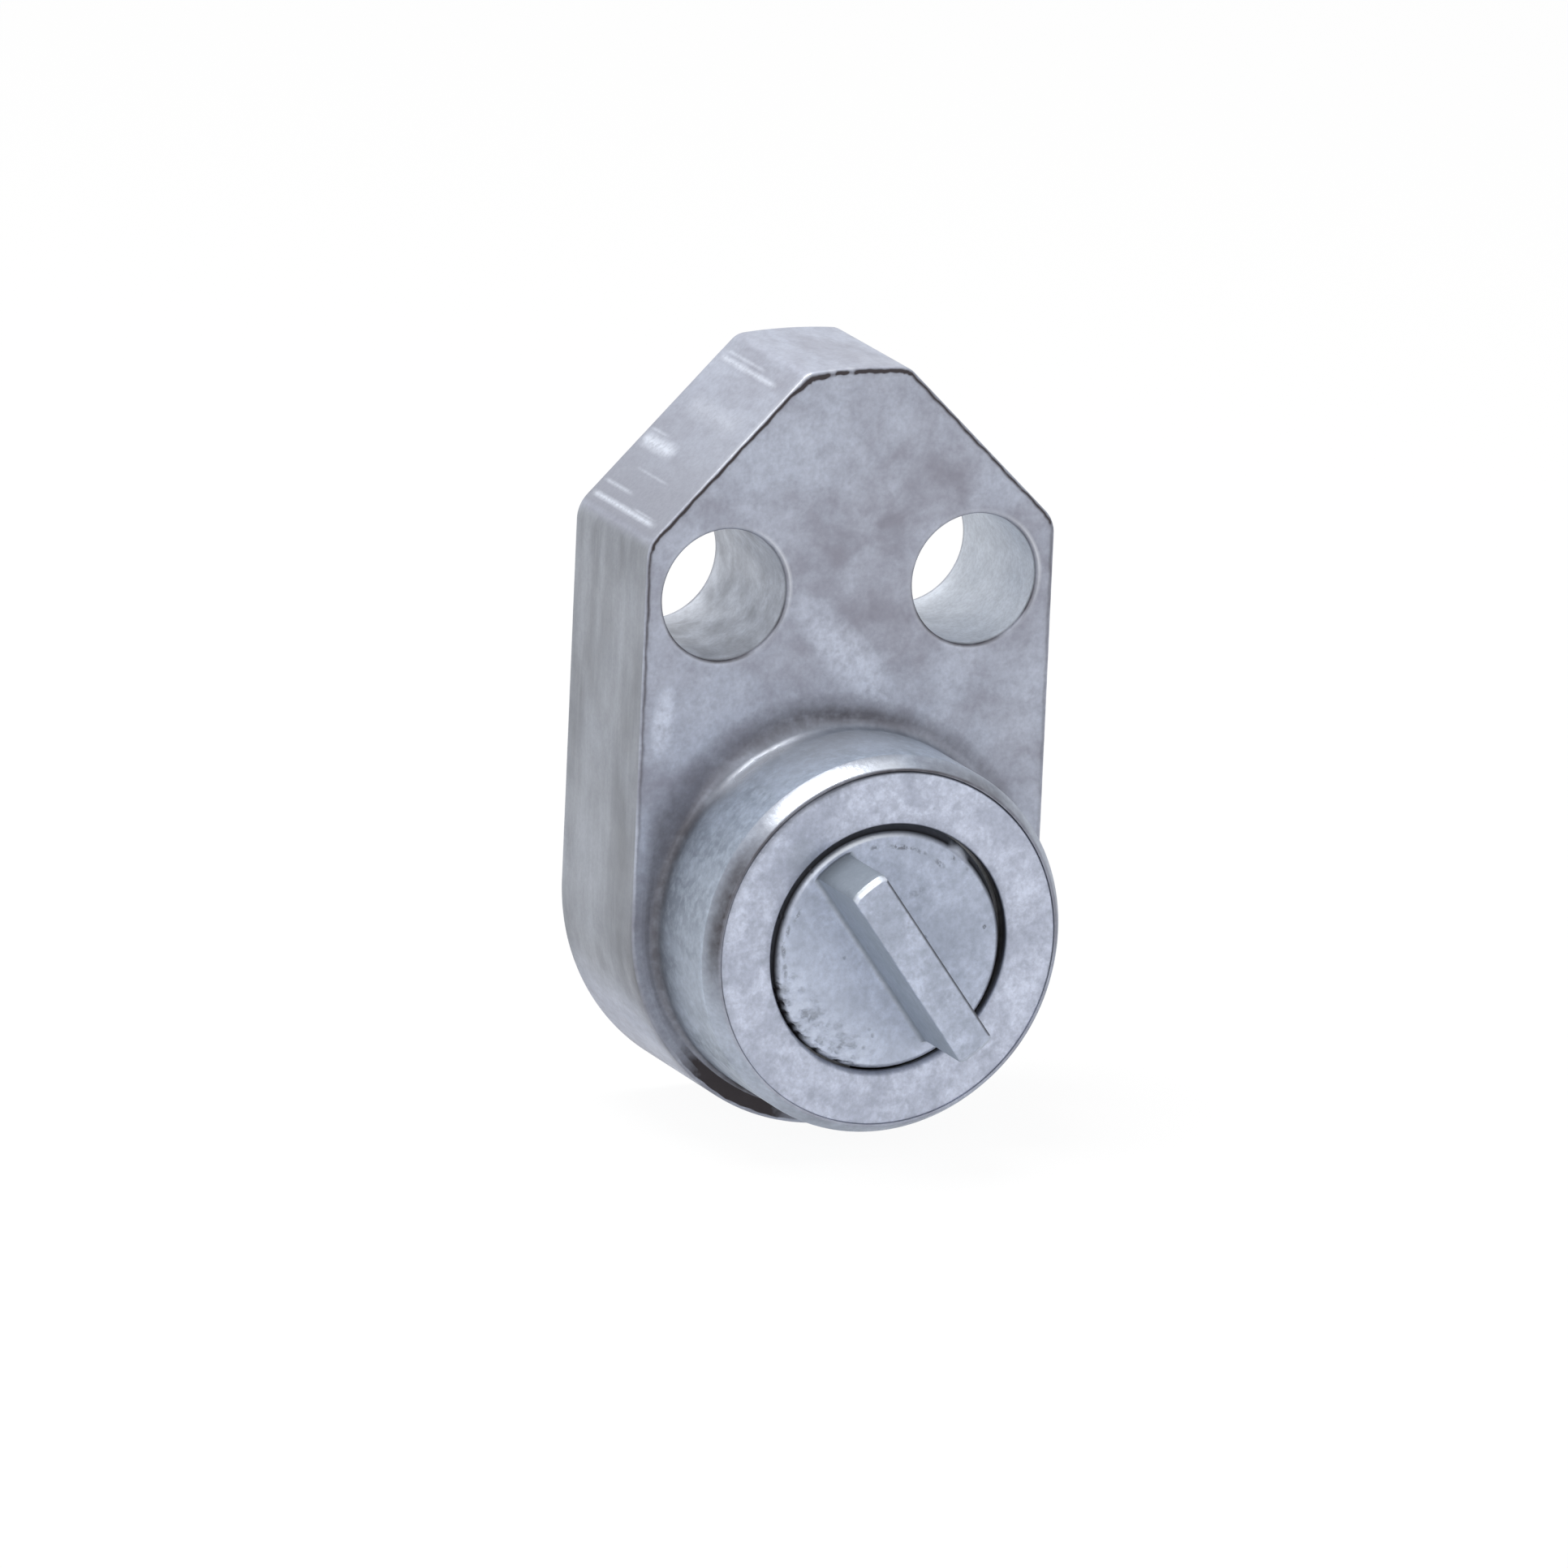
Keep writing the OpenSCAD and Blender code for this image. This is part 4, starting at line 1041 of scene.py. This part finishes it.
MATERIALS = {
    "casting": casting(),
    "core_metal": fine_casting("zinc_core", (0.46, 0.495, 0.605), (0.635, 0.68, 0.815), 11.0),
    "driver_metal": fine_casting("zinc_driver", (0.43, 0.475, 0.585), (0.57, 0.625, 0.765), 23.0,
                                 roughness=(0.6, 0.48), metallic=0.45, is_driver=True),
    "plug_metal": turned_metal("plated_brass", (0.60, 0.59, 0.55), (0.72, 0.71, 0.67), 0.3, seed=5.0),
    "key_pin_metal": turned_metal("pin_brass", (0.72, 0.55, 0.27), (0.84, 0.68, 0.38), 0.25, "Z", 8.0),
    "driver_pin_metal": turned_metal("pin_steel", (0.50, 0.51, 0.53), (0.64, 0.65, 0.67), 0.25, "Z", 12.0),
    "spring_wire": drawn_metal("spring_wire", (0.42, 0.43, 0.45), (0.58, 0.59, 0.61), 0.28, 0.12, seed=15.0),
    "spring_steel": drawn_metal("spring_steel", (0.22, 0.225, 0.235), (0.33, 0.335, 0.35), 0.36, seed=18.0),
    "screw_steel": drawn_metal("blackened_steel", (0.09, 0.09, 0.095), (0.15, 0.15, 0.16), 0.42, seed=21.0),
}
slot_of = {row["node"]: row["material_slot"] for row in frame["record"]["subparts"]}
dressed = ((housing, "housing"), (core, "core"), (driver, "driver"), (plug, "plug"), (screw, "core_screw"))
for obj, node in (*((o, node) for node, o in NODES.items()), *dressed, *springs):
    obj.data.materials.clear()
    obj.data.materials.append(MATERIALS[slot_of[node]])


# Floor, world and lamps

def pale_rays(tree):
    """1 for the camera, glossy and transmission rays, which see the pale background, and 0 for the rest."""
    rays = tree.nodes.new("ShaderNodeLightPath").outputs
    seen = rays["Is Camera Ray"]
    for kind in ("Is Glossy Ray", "Is Transmission Ray"):
        more = tree.nodes.new("ShaderNodeMath")
        more.operation = "MAXIMUM"
        tree.links.new(seen, more.inputs[0])
        tree.links.new(rays[kind], more.inputs[1])
        seen = more.outputs[0]
    return seen


def floor_material():
    mat = bpy.data.materials.new("pale_floor")
    mat.use_nodes = True
    tree = mat.node_tree
    tree.nodes.clear()
    out = tree.nodes.new("ShaderNodeOutputMaterial")
    plain = tree.nodes.new("ShaderNodeBsdfDiffuse")
    plain.inputs["Color"].default_value = (0.85, 0.85, 0.85, 1)
    glow = tree.nodes.new("ShaderNodeEmission")
    glow.inputs["Color"].default_value = (1, 1, 1, 1)
    glow.inputs["Strength"].default_value = 1.02
    share = tree.nodes.new("ShaderNodeMath")
    share.operation = "MULTIPLY"
    share.inputs[1].default_value = 0.92
    mix = tree.nodes.new("ShaderNodeMixShader")
    tree.links.new(pale_rays(tree), share.inputs[0])
    for i, socket in enumerate((share.outputs[0], plain.outputs[0], glow.outputs[0])):
        tree.links.new(socket, mix.inputs[i])
    tree.links.new(mix.outputs[0], out.inputs["Surface"])
    return mat


FLOOR_Z, FLOOR_HALF = -0.0156, 3
floor_mesh = bpy.data.meshes.new("floor")
corners = [(x * FLOOR_HALF, y * FLOOR_HALF, FLOOR_Z) for x, y in ((-1, -1), (1, -1), (1, 1), (-1, 1))]
floor_mesh.from_pydata(corners, [], [(0, 1, 2, 3)])
floor = add_object("floor", floor_mesh)
floor_mesh.materials.append(floor_material())

world = bpy.data.worlds.new("studio")
SCENE.world = world
world.use_nodes = True
tree = world.node_tree
back = tree.nodes["Background"]
back.inputs["Color"].default_value = (1, 1, 1, 1)
level = tree.nodes.new("ShaderNodeMapRange")
level.inputs["To Min"].default_value = 0.5
level.inputs["To Max"].default_value = 1.0
tree.links.new(pale_rays(tree), level.inputs["Value"])
tree.links.new(level.outputs[0], back.inputs["Strength"])


def lamp(name, place, size, power, colour):
    """A square lamp aimed at the part."""
    data = bpy.data.lights.new(name, "AREA")
    data.shape, data.size, data.size_y = "RECTANGLE", size, size
    data.energy, data.color = power, colour
    obj = add_object(name, data)
    obj.location = place
    obj.rotation_mode = "QUATERNION"
    obj.rotation_quaternion = (Vector((0, 0, 0.01)) - Vector(place)).to_track_quat("-Z", "Y")


lamp("overhead", (-0.1, 0.06, 0.42), 0.22, 1.35, (1.0, 0.99, 0.97))
lamp("front_left", (-0.32, -0.48, 0.27), 0.3, 0.8, (0.97, 0.985, 1.0))
lamp("front_right", (0.3, -0.5, 0.08), 0.3, 0.15, (0.97, 0.985, 1.0))

# Camera, where the photograph was taken from: angles in degrees, distance in mm, and the image point
# in pixels where the origin of the key face falls
turn, lift, roll = (math.radians(v) for v in (-24.3075, 14.3792, 2.5008))
distance, px_per_mm, mid_x, mid_y = 1792.5, 16.9863, 940.3325, 1073.1303
IMAGE_PX, SENSOR = 1932, 36
back_dir = Vector((math.sin(turn) * math.cos(lift), -math.cos(turn) * math.cos(lift), math.sin(lift)))
right = Vector((math.cos(turn), math.sin(turn), 0))
up = back_dir.cross(right)
right, up = math.cos(roll) * right + math.sin(roll) * up, math.cos(roll) * up - math.sin(roll) * right
shift_x, shift_y = (mid_x - IMAGE_PX / 2) / px_per_mm, -(mid_y - IMAGE_PX / 2) / px_per_mm
camera_data = bpy.data.cameras.new("camera")
camera_data.sensor_width = SENSOR
camera_data.lens = px_per_mm * distance / IMAGE_PX * SENSOR
camera_data.clip_start, camera_data.clip_end = 0.1, 10
camera = add_object("camera", camera_data)
place = Vector((0, -KEY_FACE, 0)) + back_dir * distance - right * shift_x - up * shift_y
camera.matrix_world = Matrix.Translation(place / 1000) @ Matrix((right, up, back_dir)).transposed().to_4x4()
SCENE.camera = camera
SCENE.view_settings.view_transform = "Standard"
